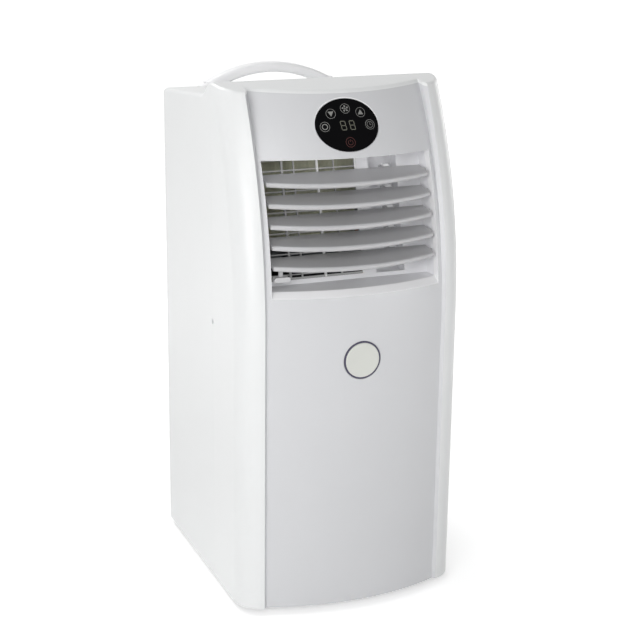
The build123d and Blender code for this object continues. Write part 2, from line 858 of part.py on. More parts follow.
# Castors: swivelling fork with stem, wheel and axle
def castor(x, y):
    """Fork, wheel and axle of one castor, trailing to the rear of its stem."""
    axle_y = y + castor_trail
    cheek_inner = castor_width / 2 + castor_run_gap
    cheek_outer = cheek_inner + castor_cheek
    crown_top = castor_pocket_roof - fit_gap
    crown_bottom = crown_top - castor_crown
    cheek_plane = Plane(origin=(x - cheek_outer, 0, 0), x_dir=(0, 1, 0), z_dir=(1, 0, 0))
    with BuildPart() as fork:
        with BuildSketch(cheek_plane):
            with BuildLine():
                Polyline(
                    (axle_y - castor_lug_radius, castor_radius),
                    (y - castor_radius / 2, crown_bottom),
                    (y - castor_radius / 2, crown_top),
                    (axle_y, crown_top),
                    (axle_y + castor_lug_radius, castor_radius),
                )
                ThreePointArc(
                    (axle_y + castor_lug_radius, castor_radius),
                    (axle_y, castor_radius - castor_lug_radius),
                    (axle_y - castor_lug_radius, castor_radius),
                )
            make_face()
        extrude(amount=2 * cheek_outer)
        drum("Z", (x, y, crown_bottom), castor_crown_radius, castor_crown)
        between_cheeks = (x - cheek_inner, x + cheek_inner)
        span_box(between_cheeks, (-case_width, case_width), (0, crown_bottom), mode=Mode.SUBTRACT)
        drum("Z", (x, y, crown_bottom), castor_stem_radius, castor_crown + base_floor + castor_stem_radius)
        drum("X", (x - cheek_outer, axle_y, castor_radius), castor_axle_radius + shaft_gap, 2 * cheek_outer,
             mode=Mode.SUBTRACT)
    with BuildPart() as wheel:
        drum("X", (x - castor_width / 2, axle_y, castor_radius), castor_radius, castor_width)
        fillet(wheel.edges().filter_by(GeomType.CIRCLE), castor_tyre_round)
        for start in (-castor_width / 2, castor_width / 4):
            drum("X", (x + start, axle_y, castor_radius), castor_hub_radius, castor_width / 4,
                 mode=Mode.SUBTRACT)
        drum("X", (x - castor_width / 2, axle_y, castor_radius), castor_axle_radius * 2, castor_width)
        drum("X", (x - castor_width / 2, axle_y, castor_radius), castor_axle_radius + shaft_gap, castor_width,
             mode=Mode.SUBTRACT)
    with BuildPart() as axle:
        drum("X", (x - cheek_outer, axle_y, castor_radius), castor_axle_radius, 2 * cheek_outer)
    return fork.part, wheel.part, axle.part


castors = [castor(x, y) for x, y in castor_places]

# Deck between the compartments, with the tray that catches the evaporator's water
mid_deck_z = window_bottom - mid_deck_drop
mid_deck_top = mid_deck_z + mid_deck_thickness
accumulator_x = compressor_x - compressor_radius - accumulator_gap - accumulator_radius
accumulator_z = base_top + accumulator_raise
suction_x = accumulator_x + suction_shift
evaporator_middle = evaporator_front + evaporator_depth / 2
with BuildPart() as mid_deck:
    extrude(base_plan(mid_deck_z, mid_deck_inset), amount=mid_deck_thickness)
    drum("Z", (suction_x, evaporator_middle, 0), pipe_radius * 2, case_top, mode=Mode.SUBTRACT)

tray_x = (evaporator_left - tray_margin, evaporator_right + tray_margin + pipe_radius)
tray_y = (evaporator_front - tray_margin, evaporator_front + evaporator_depth + tray_margin)
with BuildPart() as drain_tray:
    span_box(tray_x, tray_y, (mid_deck_top, mid_deck_top + tray_height))
    tray_rim = drain_tray.faces().sort_by(Axis.Z)[-1]
    offset(amount=-tray_wall, openings=tray_rim)


# Finned coils with end plates and return bends
def coil(x_span, y_span, z_span, plate_bottom):
    """Fin block with upright grooves, and its two end plates with the tubes' return bends."""
    left, right = x_span
    depth = y_span[1] - y_span[0]
    middle_y = sum(y_span) / 2
    groove_count = int((right - left - coil_fin_groove) / coil_fin_pitch)
    with BuildPart() as fins:
        with BuildSketch(Plane.XY.offset(z_span[0])):
            with Locations(((left + right) / 2, middle_y)):
                Rectangle(right - left, depth)
                with GridLocations(coil_fin_pitch, depth, groove_count, 2):
                    Rectangle(coil_fin_groove, 2 * coil_groove_depth, mode=Mode.SUBTRACT)
        extrude(amount=z_span[1] - z_span[0])
    bend_count = int((z_span[1] - z_span[0]) / (2 * coil_bend_pitch))
    with BuildPart() as ends:
        for face, outward in ((left, -1), (right, 1)):
            outer_face = face + outward * coil_plate
            span_box(sorted((face, outer_face)), y_span, (plate_bottom, z_span[1]))
            for bend in range(bend_count):
                bend_z = z_span[0] + coil_bend_pitch * (2 * bend + 1)
                bend_plane = Plane(origin=(outer_face, middle_y, bend_z), x_dir=(0, 1, 0), z_dir=(1, 0, 0))
                with BuildSketch(bend_plane):
                    with Locations((0, coil_bend_pitch / 2)):
                        Circle(coil_tube_radius)
                bend_axis = Axis((outer_face, middle_y, bend_z), (0, outward, 0))
                revolve(axis=bend_axis, revolution_arc=180)
    return fins.part, ends.part


evaporator_back = evaporator_front + evaporator_depth
evaporator_low = mid_deck_top + tray_height + evaporator_raise
evaporator_fins, evaporator_ends = coil(
    (evaporator_left, evaporator_right),
    (evaporator_front, evaporator_back),
    (evaporator_low, evaporator_low + evaporator_height),
    mid_deck_top + tray_wall,
)


# Blowers: volute casing, bladed wheel on its shaft, and motor
def volute_outline(inset, start_radius, growth, mouth, lip):
    """Spiral that opens towards the left at the top, as three arcs and the mouth's straight lips."""

    def turn(angle):
        radius = start_radius + growth * (angle - 180) / 270 - inset
        return (radius * cos(radians(angle)), radius * sin(radians(angle)))

    reach = -mouth - (1 if inset else 0)
    with BuildSketch() as outline:
        with BuildLine():
            for angle in (180, 270, 360):
                ThreePointArc(turn(angle), turn(angle + 45), turn(angle + 90))
            Polyline(
                turn(450),
                (reach, turn(450)[1]),
                (reach, lip + inset),
                (turn(180)[0], lip + inset),
                turn(180),
            )
        make_face()
    return outline.sketch


def volute(plane, width, start_radius, growth, mouth, lip, inlets):
    """Hollow casing on a plane through its front plate, open at the mouth, with inlet holes."""
    with BuildPart() as casing:
        extrude(plane * volute_outline(0, start_radius, growth, mouth, lip), amount=width)
        inner_plane = plane.offset(blower_wall)
        inner = inner_plane * volute_outline(blower_wall, start_radius, growth, mouth, lip)
        extrude(inner, amount=width - 2 * blower_wall, mode=Mode.SUBTRACT)
        for height, radius in inlets:
            with BuildSketch(plane.offset(height)):
                Circle(radius)
            extrude(amount=2 * blower_wall, both=True, mode=Mode.SUBTRACT)
    return casing.part


def blower_wheel(plane, radius, length, shaft_span):
    """Bladed drum with a back plate, a front ring, and the motor's shaft through its hub."""
    inner = radius - blower_blade
    with BuildPart() as wheel:
        with BuildSketch(plane):
            Circle(radius)
        extrude(amount=blower_wall)
        with BuildSketch(plane.offset(length - blower_wall)):
            Circle(radius)
            Circle(inner, mode=Mode.SUBTRACT)
        extrude(amount=blower_wall)
        with BuildSketch(plane):
            with PolarLocations(radius - blower_blade / 2, blower_blades):
                Rectangle(blower_blade - blower_wall, blower_blade_thickness, rotation=blower_blade_angle)
        extrude(amount=length)
        with BuildSketch(plane):
            Circle(3 * shaft_radius)
        extrude(amount=length / 3)
        with BuildSketch(plane.offset(shaft_span[0])):
            Circle(shaft_radius)
        extrude(amount=shaft_span[1] - shaft_span[0])
    return wheel.part


def motor(plane, radius, length, flange, posts):
    """Can with a rounded rim and a blind shaft bore from its mounting side, with a flange or three posts."""
    with BuildPart() as body:
        with BuildSketch(plane):
            Circle(radius)
        extrude(amount=length)
        fillet(body.faces().sort_by(Axis(plane.origin, plane.z_dir))[-1].edges(), radius / 6)
        with BuildSketch(plane):
            Circle(flange)
        extrude(amount=motor_flange)
        if posts:
            with BuildSketch(plane):
                with PolarLocations(flange - 1.5 * pipe_radius, 3):
                    Circle(pipe_radius)
            extrude(amount=-posts)
        with BuildSketch(plane):
            Circle(shaft_radius + shaft_gap)
        extrude(amount=length * motor_bore_share, mode=Mode.SUBTRACT)
    return body.part


upper_z = mid_deck_top + upper_blower_rise
upper_right = evaporator_right + upper_scroll_shift
upper_width = upper_wheel_length + 2 * blower_end_gap
upper_left = upper_right - upper_width
upper_plane = Plane(origin=(upper_left, upper_blower_y, upper_z), x_dir=(0, 1, 0), z_dir=(1, 0, 0))
upper_start = upper_wheel_radius + upper_scroll_gap
upper_mouth = upper_blower_y - evaporator_back - upper_coil_gap
upper_inlet = upper_wheel_radius - blower_inlet_lap
upper_casing = volute(
    upper_plane, upper_width, upper_start, upper_scroll_growth, upper_mouth, upper_wheel_radius / 2,
    ((0, upper_inlet), (upper_width, upper_inlet)),
)
with BuildPart() as evaporator_scroll:
    add(upper_casing)
    for plate in (upper_left, upper_right - blower_wall):
        span_box(
            (plate, plate + blower_wall),
            (upper_blower_y - upper_leg_half, upper_blower_y + upper_leg_half),
            (mid_deck_top, upper_z - upper_inlet - blower_wall),
        )
evaporator_wheel = blower_wheel(
    upper_plane.offset(blower_end_gap), upper_wheel_radius, upper_wheel_length,
    (0, upper_width + motor_post + upper_shaft_reach),
)
evaporator_motor = motor(
    upper_plane.offset(upper_width + motor_post), upper_motor_radius, upper_motor_length,
    upper_inlet + 2 * pipe_radius + blower_wall, motor_post,
)

# Condenser, its blower and the way out for the warm air
condenser_back = rear_face - condenser_back_margin
condenser_front = condenser_back - condenser_depth
exhaust_z = mid_deck_z - exhaust_drop
exhaust_duct_top = mid_deck_z - exhaust_deck_gap
exhaust_duct_bottom = exhaust_duct_top - exhaust_duct_height
condenser_low = castor_pocket_roof + base_floor + condenser_raise
condenser_top = exhaust_duct_bottom - condenser_top_gap
condenser_fins, condenser_ends = coil(
    (-condenser_half, condenser_half),
    (condenser_front, condenser_back),
    (condenser_low, condenser_top),
    castor_pocket_roof + base_floor,
)
lower_x = lower_blower_inset - half_width
lower_z = exhaust_duct_bottom - lower_blower_drop
lower_width = lower_wheel_length + 2 * blower_end_gap
lower_front = condenser_front - lower_coil_gap - lower_width
lower_start = lower_wheel_radius + lower_scroll_gap
lower_plane = Plane(origin=(lower_x, lower_front, lower_z), x_dir=(0, 0, -1), z_dir=(0, 1, 0))
lower_casing = volute(
    lower_plane, lower_width, lower_start, lower_scroll_growth, lower_blower_drop, lower_wheel_radius / 2,
    ((0, 2 * shaft_radius), (lower_width, lower_wheel_radius - blower_inlet_lap)),
)
with BuildPart() as condenser_scroll:
    add(lower_casing)
    for plate in (lower_front, lower_front + lower_width - blower_wall):
        span_box(
            tuple(lower_x + end for end in lower_leg_span),
            (plate, plate + blower_wall),
            (base_top, lower_z - lower_wheel_radius + blower_end_gap),
        )
condenser_wheel = blower_wheel(
    lower_plane.offset(blower_end_gap), lower_wheel_radius, lower_wheel_length,
    (-lower_shaft_reach, lower_wheel_length),
)
lower_motor_plane = Plane(origin=(lower_x, lower_front, lower_z), x_dir=(1, 0, 0), z_dir=(0, -1, 0))
condenser_motor = motor(
    lower_motor_plane, lower_motor_radius, lower_motor_length, lower_motor_radius + motor_flange_lap, 0
)

exhaust_x = lower_x - exhaust_shift
exhaust_outer = exhaust_bore + exhaust_wall
exhaust_half = exhaust_outer + exhaust_flange + exhaust_side_gap
exhaust_box_rear = inner_rear - exhaust_flange
with BuildPart() as exhaust_duct:
    span_box(
        (exhaust_x - exhaust_half, exhaust_x + exhaust_half),
        (lower_front, exhaust_box_rear),
        (exhaust_duct_bottom, exhaust_duct_top),
    )
    offset(amount=-blower_wall, openings=exhaust_duct.faces().sort_by(Axis.Y)[-1])
    span_box(
        (exhaust_x - exhaust_half + 2 * blower_wall, lower_x - lower_wheel_radius / 2),
        (lower_front + blower_wall, lower_front + lower_width - blower_wall),
        (exhaust_duct_bottom - 1, exhaust_duct_bottom + 2 * blower_wall),
        mode=Mode.SUBTRACT,
    )
with BuildPart() as exhaust_collar:
    drum("Y", (exhaust_x, rear_face - exhaust_length, exhaust_z), exhaust_outer, exhaust_length)
    drum("Y", (exhaust_x, exhaust_box_rear + fit_gap, exhaust_z), exhaust_outer + exhaust_flange,
         exhaust_flange - 2 * fit_gap)
    drum("Y", (exhaust_x, 0, exhaust_z), exhaust_bore, 2 * rear_face, mode=Mode.SUBTRACT)

# Compressor on three rubber grommets, with its accumulator
foot_z = base_top + foot_boss_height
plate_z = foot_z + grommet_height
can_z = plate_z + compressor_foot_plate
can_top = can_z + compressor_height
foot_bend = can_foot_round * (1 - sqrt(0.5))
bolt_hole = foot_bolt_radius + foot_bolt_gap
with BuildPart() as compressor:
    with BuildSketch(Plane.XZ.offset(-compressor_y).move(Location((compressor_x, 0, 0)))):
        with BuildLine():
            Polyline((0, can_top), (0, can_z), (compressor_radius - can_foot_round, can_z))
            ThreePointArc(
                (compressor_radius - can_foot_round, can_z),
                (compressor_radius - foot_bend, can_z + foot_bend),
                (compressor_radius, can_z + can_foot_round),
            )
            Line((compressor_radius, can_z + can_foot_round), (compressor_radius, can_top - can_dome))
            ThreePointArc(
                (compressor_radius, can_top - can_dome),
                (compressor_radius * can_shoulder, can_top - can_shoulder_drop),
                (0, can_top),
            )
        make_face()
    revolve(axis=Axis((compressor_x, compressor_y, 0), (0, 0, 1)))
    with BuildSketch(Plane.XY.offset(plate_z)):
        with Locations((compressor_x, compressor_y)):
            with PolarLocations(compressor_foot_radius / 2, 3, start_angle=90):
                SlotOverall(compressor_foot_radius + 2 * grommet_radius, 2 * grommet_radius)
    extrude(amount=can_z - plate_z)
    drum("Z", (compressor_x, compressor_y, can_top - can_stub / 2), pipe_radius, can_stub * 1.5)
    for x, y in compressor_feet:
        drum("Z", (x, y, 0), bolt_hole, can_z + 1, mode=Mode.SUBTRACT)
with BuildPart() as compressor_grommets:
    for x, y in compressor_feet:
        drum("Z", (x, y, foot_z), grommet_radius, grommet_height)
    grommet_rims = compressor_grommets.edges().filter_by(GeomType.CIRCLE)
    fillet(grommet_rims, grommet_radius / 6)
    for x, y in compressor_feet:
        drum("Z", (x, y, 0), bolt_hole, case_top, mode=Mode.SUBTRACT)
with BuildPart() as compressor_bolts:
    for x, y in compressor_feet:
        drum("Z", (x, y, foot_z), foot_bolt_radius, can_z - foot_z + 1)
        with BuildSketch(Plane.XY.offset(can_z)):
            with Locations((x, y)):
                RegularPolygon(foot_nut_radius, 6)
        extrude(amount=foot_nut_height)
strap_z = accumulator_z + accumulator_height / 2
with BuildPart() as accumulator:
    drum("Z", (accumulator_x, compressor_y, accumulator_z), accumulator_radius, accumulator_height)
    fillet(accumulator.edges().filter_by(GeomType.CIRCLE), accumulator_radius / 2)
    span_box(
        (accumulator_x, compressor_x),
        (compressor_y - accumulator_strap_width / 2, compressor_y + accumulator_strap_width / 2),
        (strap_z - accumulator_strap_height / 2, strap_z + accumulator_strap_height / 2),
    )
    drum("Z", (compressor_x, compressor_y, 0), compressor_radius + fit_gap, case_top, mode=Mode.SUBTRACT)

# Refrigerant pipes: compressor to condenser, and evaporator to accumulator
condenser_middle = (condenser_front + condenser_back) / 2
discharge_x = condenser_half - discharge_inset
discharge_top = max(can_top + can_stub, condenser_top) + discharge_rise
discharge_route = [
    (compressor_x, compressor_y, can_top + can_stub + fit_gap),
    (compressor_x, compressor_y, discharge_top),
    (discharge_x, condenser_middle, discharge_top),
    (discharge_x, condenser_middle, condenser_top + fit_gap),
]
suction_port_z = evaporator_low + suction_port_rise
suction_route = [
    (accumulator_x, compressor_y, accumulator_z + accumulator_height + fit_gap),
    (accumulator_x, compressor_y, mid_deck_z - suction_bend_drop),
    (suction_x, evaporator_middle, mid_deck_z - suction_entry_drop),
    (suction_x, evaporator_middle, suction_port_z),
    (evaporator_right + coil_plate + fit_gap, evaporator_middle, suction_port_z),
]
with BuildPart() as refrigerant_pipes:
    for route in (discharge_route, suction_route):
        with BuildLine() as pipe_line:
            FilletPolyline(*route, radius=pipe_bend * pipe_radius)
        pipe_wire = pipe_line.wires()[0]
        with BuildSketch(Plane(origin=pipe_wire @ 0, z_dir=pipe_wire % 0)):
            Circle(pipe_radius)
        sweep(path=pipe_wire)

# Control box above the deck, with the power board and the run capacitor
box_x = (half_width - box_inset - box_width, half_width - box_inset)
box_y = (seam_y + box_front_gap, rear_face - box_rear_margin)
box_floor = mid_deck_top + box_wall
with BuildPart() as control_box:
    span_box(box_x, box_y, (mid_deck_top, mid_deck_top + box_height))
    offset(amount=-box_wall, openings=control_box.faces().sort_by(Axis.Z)[-1])
board_low = box_floor + box_board_raise
board_x = (box_x[0] + box_board_gap, box_x[1] - box_board_gap)
board_y = (box_y[0] + box_board_gap, box_y[1] - capacitor_bay)
board_centre = (sum(board_x) / 2, sum(board_y) / 2)
post_spread = (board_x[1] - board_x[0] - 4 * box_post_radius, board_y[1] - board_y[0] - 4 * box_post_radius)
with BuildPart() as power_board:
    span_box(board_x, board_y, (board_low, board_low + board_thickness))
    with BuildSketch(Plane.XY.offset(box_floor)):
        with Locations(board_centre):
            with GridLocations(*post_spread, 2, 2):
                Circle(box_post_radius)
    extrude(amount=box_board_raise)
    with Locations((board_centre[0] - transformer_size[0] / 2, board_centre[1], board_low)):
        Box(*transformer_size, align=from_start)
    with Locations((board_centre[0] + terminal_size[0], board_centre[1], board_low)):
        Box(*terminal_size, align=from_start)
with BuildPart() as run_capacitor:
    capacitor_y = box_y[1] - box_wall - capacitor_bay / 2
    drum("Z", (board_centre[0], capacitor_y, box_floor), capacitor_radius, capacitor_height)
    fillet(run_capacitor.edges().filter_by(GeomType.CIRCLE), capacitor_edge)

# Carry handle: arch with rounded edges, shaped to the deck's rear edge, on two pegs
handle_foot = deck_rear - handle_peg


def arch_end(half_span, rise):
    """Half span of an arch where it is drawn on below its chord, down to the handle's foot."""
    radius = (half_span**2 + rise**2) / (2 * rise)
    return sqrt(radius**2 - (radius - rise - handle_peg) ** 2)


outer_end = arch_end(handle_half_span, handle_rise)
inner_end = arch_end(handle_inner_half_span, handle_inner_rise)
handle_top = deck_rear + handle_rise
handle_under = deck_rear + handle_inner_rise
fitted_pegs = handle_pegs(0)
handle_seat = rear_block(-seat_gap, seam_y, floor_gap)
with BuildPart() as carry_handle:
    with BuildSketch(Plane.XZ.offset(-handle_front)):
        with BuildLine():
            ThreePointArc((-outer_end, handle_foot), (0, handle_top), (outer_end, handle_foot))
            Line((outer_end, handle_foot), (inner_end, handle_foot))
            ThreePointArc((inner_end, handle_foot), (0, handle_under), (-inner_end, handle_foot))
            Line((-inner_end, handle_foot), (-outer_end, handle_foot))
        make_face()
    extrude(amount=-handle_depth)
    fillet(carry_handle.edges().filter_by(GeomType.CIRCLE), handle_edge_round)
    add(handle_seat, mode=Mode.SUBTRACT)
    span_box((-case_width, case_width), (0, case_width), (0, deck_rear - handle_heel), mode=Mode.SUBTRACT)
    add(fitted_pegs)

# Rear shell: openings for the grilles, the hose, the cord and the drain, deck ledges and screw tabs
upper_grille_z = (mid_deck_top + tray_height, well_floor - wall - grille_edge)
lower_grille_z = (condenser_low, condenser_top)
gland_x = half_width - gland_inset
gland_z = mid_deck_z - gland_drop
screw_seat = inner_half - 2 * fit_gap
socket_cuts = handle_pegs(fit_gap)
with BuildPart() as well_tub:
    span_box(
        (-handle_inner_half_span - wall, handle_inner_half_span + wall),
        (well_front - wall, rear_face),
        (well_floor - wall, case_top),
    )
    add(rear_outer, mode=Mode.INTERSECT)
with BuildPart() as screw_space:
    drum("X", (screw_seat, seam_y, screw_height), screw_head_radius + fit_gap, overshoot)
    drum("X", (-screw_seat - overshoot, seam_y, screw_height), screw_head_radius + fit_gap, overshoot)
with BuildPart() as rear_shell:
    add(rear_outer)
    add(rear_hollow, mode=Mode.SUBTRACT)
    add(well_tub.part)
    add(finger_well.part, mode=Mode.SUBTRACT)
    add(socket_cuts, mode=Mode.SUBTRACT)
    for side in (-1, 1):
        tab_z = (screw_height - screw_tab, screw_height + screw_tab)
        span_box(
            sorted((side * (inner_half - deck_ledge_depth), side * (inner_half + wall / 2))),
            (seam_y + deck_ledge_depth, inner_rear - rear_corner),
            (mid_deck_z - deck_ledge_depth, mid_deck_z),
        )
        span_box(
            sorted((side * (screw_seat - screw_tab), side * screw_seat)),
            (seam_y - screw_tab, seam_y + screw_tab),
            tab_z,
        )
        span_box(
            sorted((side * (screw_seat - screw_tab), side * (inner_half + wall / 2))),
            (seam_y + screw_head_radius + 1, seam_y + screw_tab),
            tab_z,
        )
    add(screw_space.part, mode=Mode.SUBTRACT)
    drum("X", (-half_width, seam_y, screw_height), screw_radius + shaft_gap, case_width, mode=Mode.SUBTRACT)
    for low, high in (upper_grille_z, lower_grille_z):
        span_box(
            (-grille_half - fit_gap, grille_half + fit_gap),
            (inner_rear - overshoot, rear_face + overshoot),
            (low - fit_gap, high + fit_gap),
            mode=Mode.SUBTRACT,
        )
    rear_holes = (
        (exhaust_x, exhaust_z, exhaust_outer + fit_gap),
        (gland_x, gland_z, gland_radius + fit_gap),
        (0, drain_z, 2 * drain_bore),
    )
    for x, z, radius in rear_holes:
        drum("Y", (x, inner_rear - wall, z), radius, overshoot, mode=Mode.SUBTRACT)
with BuildPart() as notched_front:
    add(front_shell.part)
    add(screw_space.part, mode=Mode.SUBTRACT)
with BuildPart() as case_screws:
    for side in (-1, 1):
        for radius, inner, outer in (
            (screw_head_radius, screw_seat + seat_gap, screw_seat + seat_gap + screw_head_height),
            (screw_radius, screw_seat - screw_length, screw_seat + screw_head_height),
        ):
            drum("X", (min(side * inner, side * outer), seam_y, screw_height), radius, outer - inner)


# Grilles, the filter behind the upper one, and the pieces at the rear wall
def rear_grille(z_span):
    """Slatted panel for a rear opening, flush with the rear face."""
    height = z_span[1] - z_span[0]
    slot_width = 2 * (grille_half - grille_edge - grille_slat) / 3
    slot_rows = int((height - grille_edge) / grille_slat_pitch)
    with BuildPart() as grille:
        with BuildSketch(Plane.XZ.offset(-rear_face)):
            with Locations((0, sum(z_span) / 2)):
                Rectangle(2 * grille_half, height)
                with GridLocations(slot_width + grille_slat, grille_slat_pitch, 3, slot_rows):
                    Rectangle(slot_width, grille_slat_pitch - grille_slat, mode=Mode.SUBTRACT)
        extrude(amount=grille_thickness)
    return grille.part


intake_grille = rear_grille(upper_grille_z)
lower_grille = rear_grille(lower_grille_z)
filter_half = grille_half - grille_edge / 2
filter_height = upper_grille_z[1] - upper_grille_z[0] - grille_edge
filter_z = sum(upper_grille_z) / 2
filter_back = rear_face - grille_thickness - filter_depth
with BuildPart() as filter_frame:
    with BuildSketch(Plane.XZ.offset(-filter_back)):
        with Locations((0, filter_z)):
            Rectangle(2 * filter_half, filter_height)
            with GridLocations(filter_half, filter_height / 2, 2, 2):
                Rectangle(filter_half - grille_edge, filter_height / 2 - grille_edge, mode=Mode.SUBTRACT)
    extrude(amount=-filter_depth)
with BuildPart() as filter_mesh:
    span_box(
        (filter_trim - filter_half, filter_half - filter_trim),
        (filter_back - filter_sheet, filter_back),
        (filter_z - filter_height / 2 + filter_trim, filter_z + filter_height / 2 - filter_trim),
    )
gland_proud = badge_thickness - badge_recess + seat_gap
with BuildPart() as cord_gland:
    drum("Y", (gland_x, inner_rear - gland_radius, gland_z), gland_radius, gland_radius + wall + gland_proud)
    drum("Y", (gland_x, rear_face, gland_z), gland_radius + gland_rim, gland_proud)
    drum("Y", (gland_x, inner_rear - gland_rim, gland_z), gland_radius + gland_rim, gland_rim - fit_gap)
    drum("Y", (gland_x, 0, gland_z), gland_bore, 2 * rear_face, mode=Mode.SUBTRACT)
plug_face = base_rear + fit_gap
with BuildPart() as drain_plug:
    drum("Y", (0, plug_face - 2 * drain_bore, drain_z), drain_bore - pivot_gap, 2 * drain_bore)
    drum("Y", (0, plug_face, drain_z), drain_plug_rim, rear_face - plug_face - seat_gap)

pieces = {
    "front_shell": notched_front.part,
    "rear_shell": rear_shell.part,
    "carry_handle": carry_handle.part,
    "base_pan": base_pan.part,
    "mid_deck": mid_deck.part,
    "case_screws": case_screws.part,
    "front_badge": front_badge.part,
    "control_lens": control_lens.part,
    "control_board": control_board.part,
    "outlet_duct": outlet_duct.part,
    "outlet_guard": outlet_guard.part,
    "louvre_link": louvre_link.part,
    "drain_tray": drain_tray.part,
    "evaporator_fins": evaporator_fins,
    "evaporator_ends": evaporator_ends,
    "evaporator_scroll": evaporator_scroll.part,
    "evaporator_wheel": evaporator_wheel,
    "evaporator_motor": evaporator_motor,
    "condenser_fins": condenser_fins,
    "condenser_ends": condenser_ends,
    "condenser_scroll": condenser_scroll.part,
    "condenser_wheel": condenser_wheel,
    "condenser_motor": condenser_motor,
    "exhaust_duct": exhaust_duct.part,
    "exhaust_collar": exhaust_collar.part,
    "compressor": compressor.part,
    "compressor_grommets": compressor_grommets.part,
    "compressor_bolts": compressor_bolts.part,
    "accumulator": accumulator.part,
    "refrigerant_pipes": refrigerant_pipes.part,
    "control_box": control_box.part,
    "power_board": power_board.part,
    "run_capacitor": run_capacitor.part,
    "intake_grille": intake_grille,
    "filter_frame": filter_frame.part,
    "filter_mesh": filter_mesh.part,
    "lower_grille": lower_grille,
    "cord_gland": cord_gland.part,
    "drain_plug": drain_plug.part,
}
for number, blade in enumerate(louvres):
    pieces[f"louvre_{number + 1}"] = blade
for number, (fork, wheel, axle) in enumerate(castors):
    pieces[f"castor_fork_{number + 1}"] = fork
    pieces[f"castor_wheel_{number + 1}"] = wheel
    pieces[f"castor_axle_{number + 1}"] = axle

os.makedirs("parts", exist_ok=True)
for name, piece in pieces.items():
    piece.label = name
    export_step(piece, f"parts/{name}.step")
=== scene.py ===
import math
import bmesh
import bpy
from mathutils import Matrix, Vector
from mathutils.bvhtree import BVHTree


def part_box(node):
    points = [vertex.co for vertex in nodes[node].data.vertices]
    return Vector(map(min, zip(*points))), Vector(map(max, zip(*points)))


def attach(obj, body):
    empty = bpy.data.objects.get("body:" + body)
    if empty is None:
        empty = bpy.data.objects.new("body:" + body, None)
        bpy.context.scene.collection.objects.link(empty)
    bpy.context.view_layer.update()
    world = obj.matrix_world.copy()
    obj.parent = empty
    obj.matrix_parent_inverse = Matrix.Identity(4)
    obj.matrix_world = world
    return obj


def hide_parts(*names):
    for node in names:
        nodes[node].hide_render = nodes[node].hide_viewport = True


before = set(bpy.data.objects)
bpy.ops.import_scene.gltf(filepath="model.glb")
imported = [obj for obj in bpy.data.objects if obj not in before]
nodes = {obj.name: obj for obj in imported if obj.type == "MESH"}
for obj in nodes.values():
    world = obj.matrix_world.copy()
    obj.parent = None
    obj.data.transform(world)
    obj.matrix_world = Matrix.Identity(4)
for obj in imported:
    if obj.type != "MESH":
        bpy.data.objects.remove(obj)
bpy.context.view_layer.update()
print("frame loaded with", len(nodes), "nodes")


# One node socket, so that node maths reads as plain expressions
class Wire:
    def __init__(self, tree, socket=None):
        self.tree = tree
        self.socket = socket

    # Any node: its type, the settings that come first, and what goes into its sockets
    def add(self, kind, settings=None, values=None, out=0):
        node = self.tree.nodes.new(kind)
        for name, value in (settings or {}).items():
            setattr(node, name, value)
        for key, value in (values or {}).items():
            if isinstance(value, Wire):
                self.tree.links.new(value.socket, node.inputs[key])
            else:
                node.inputs[key].default_value = value
        return Wire(self.tree, node.outputs[out])

    def maths(self, operation, first, second=0.0):
        return self.add("ShaderNodeMath", {"operation": operation}, {0: first, 1: second})

    def __add__(self, other):
        return self.maths("ADD", self, other)

    def __radd__(self, other):
        return self.maths("ADD", other, self)

    def __sub__(self, other):
        return self.maths("SUBTRACT", self, other)

    def __rsub__(self, other):
        return self.maths("SUBTRACT", other, self)

    def __mul__(self, other):
        return self.maths("MULTIPLY", self, other)

    def __rmul__(self, other):
        return self.maths("MULTIPLY", other, self)

    def __truediv__(self, other):
        return self.maths("DIVIDE", self, other)

    def __rtruediv__(self, other):
        return self.maths("DIVIDE", other, self)

    # A Mix node names its sockets alike for every data type: 6, 7 and 2 are the colours
    def blend(self, low, high):
        return self.add("ShaderNodeMix", {"data_type": "RGBA"}, {0: self, 6: low, 7: high}, out=2)

    def tint(self, colour, shades):
        dark, light = shades
        return self.blend(rgba(colour, dark), rgba(colour, light))

    def noise(self, coords, scale, detail):
        return self.add("ShaderNodeTexNoise", None, {"Vector": coords, "Scale": scale, "Detail": detail})


def rgba(colour, gain=1.0):
    return (*(min(part * gain, 1.0) for part in colour), 1.0)


def startMaterial(name):
    material = bpy.data.materials.new(name)
    material.use_nodes = True
    tree = material.node_tree
    tree.nodes.clear()
    output = tree.nodes.new("ShaderNodeOutputMaterial")
    shader = tree.nodes.new("ShaderNodeBsdfPrincipled")
    tree.links.new(shader.outputs[0], output.inputs[0])
    wire = Wire(tree)
    coords = wire.add("ShaderNodeTexCoord", out="Object")
    return material, shader, wire, coords


def feed(shader, name, value):
    if isinstance(value, Wire):
        value.tree.links.new(value.socket, shader.inputs[name])
    else:
        shader.inputs[name].default_value = value


def axes(wire, coords):
    split = wire.add("ShaderNodeSeparateXYZ", None, {0: coords}).socket.node
    return [Wire(wire.tree, output) for output in split.outputs]


noiseMiddle = 0.5


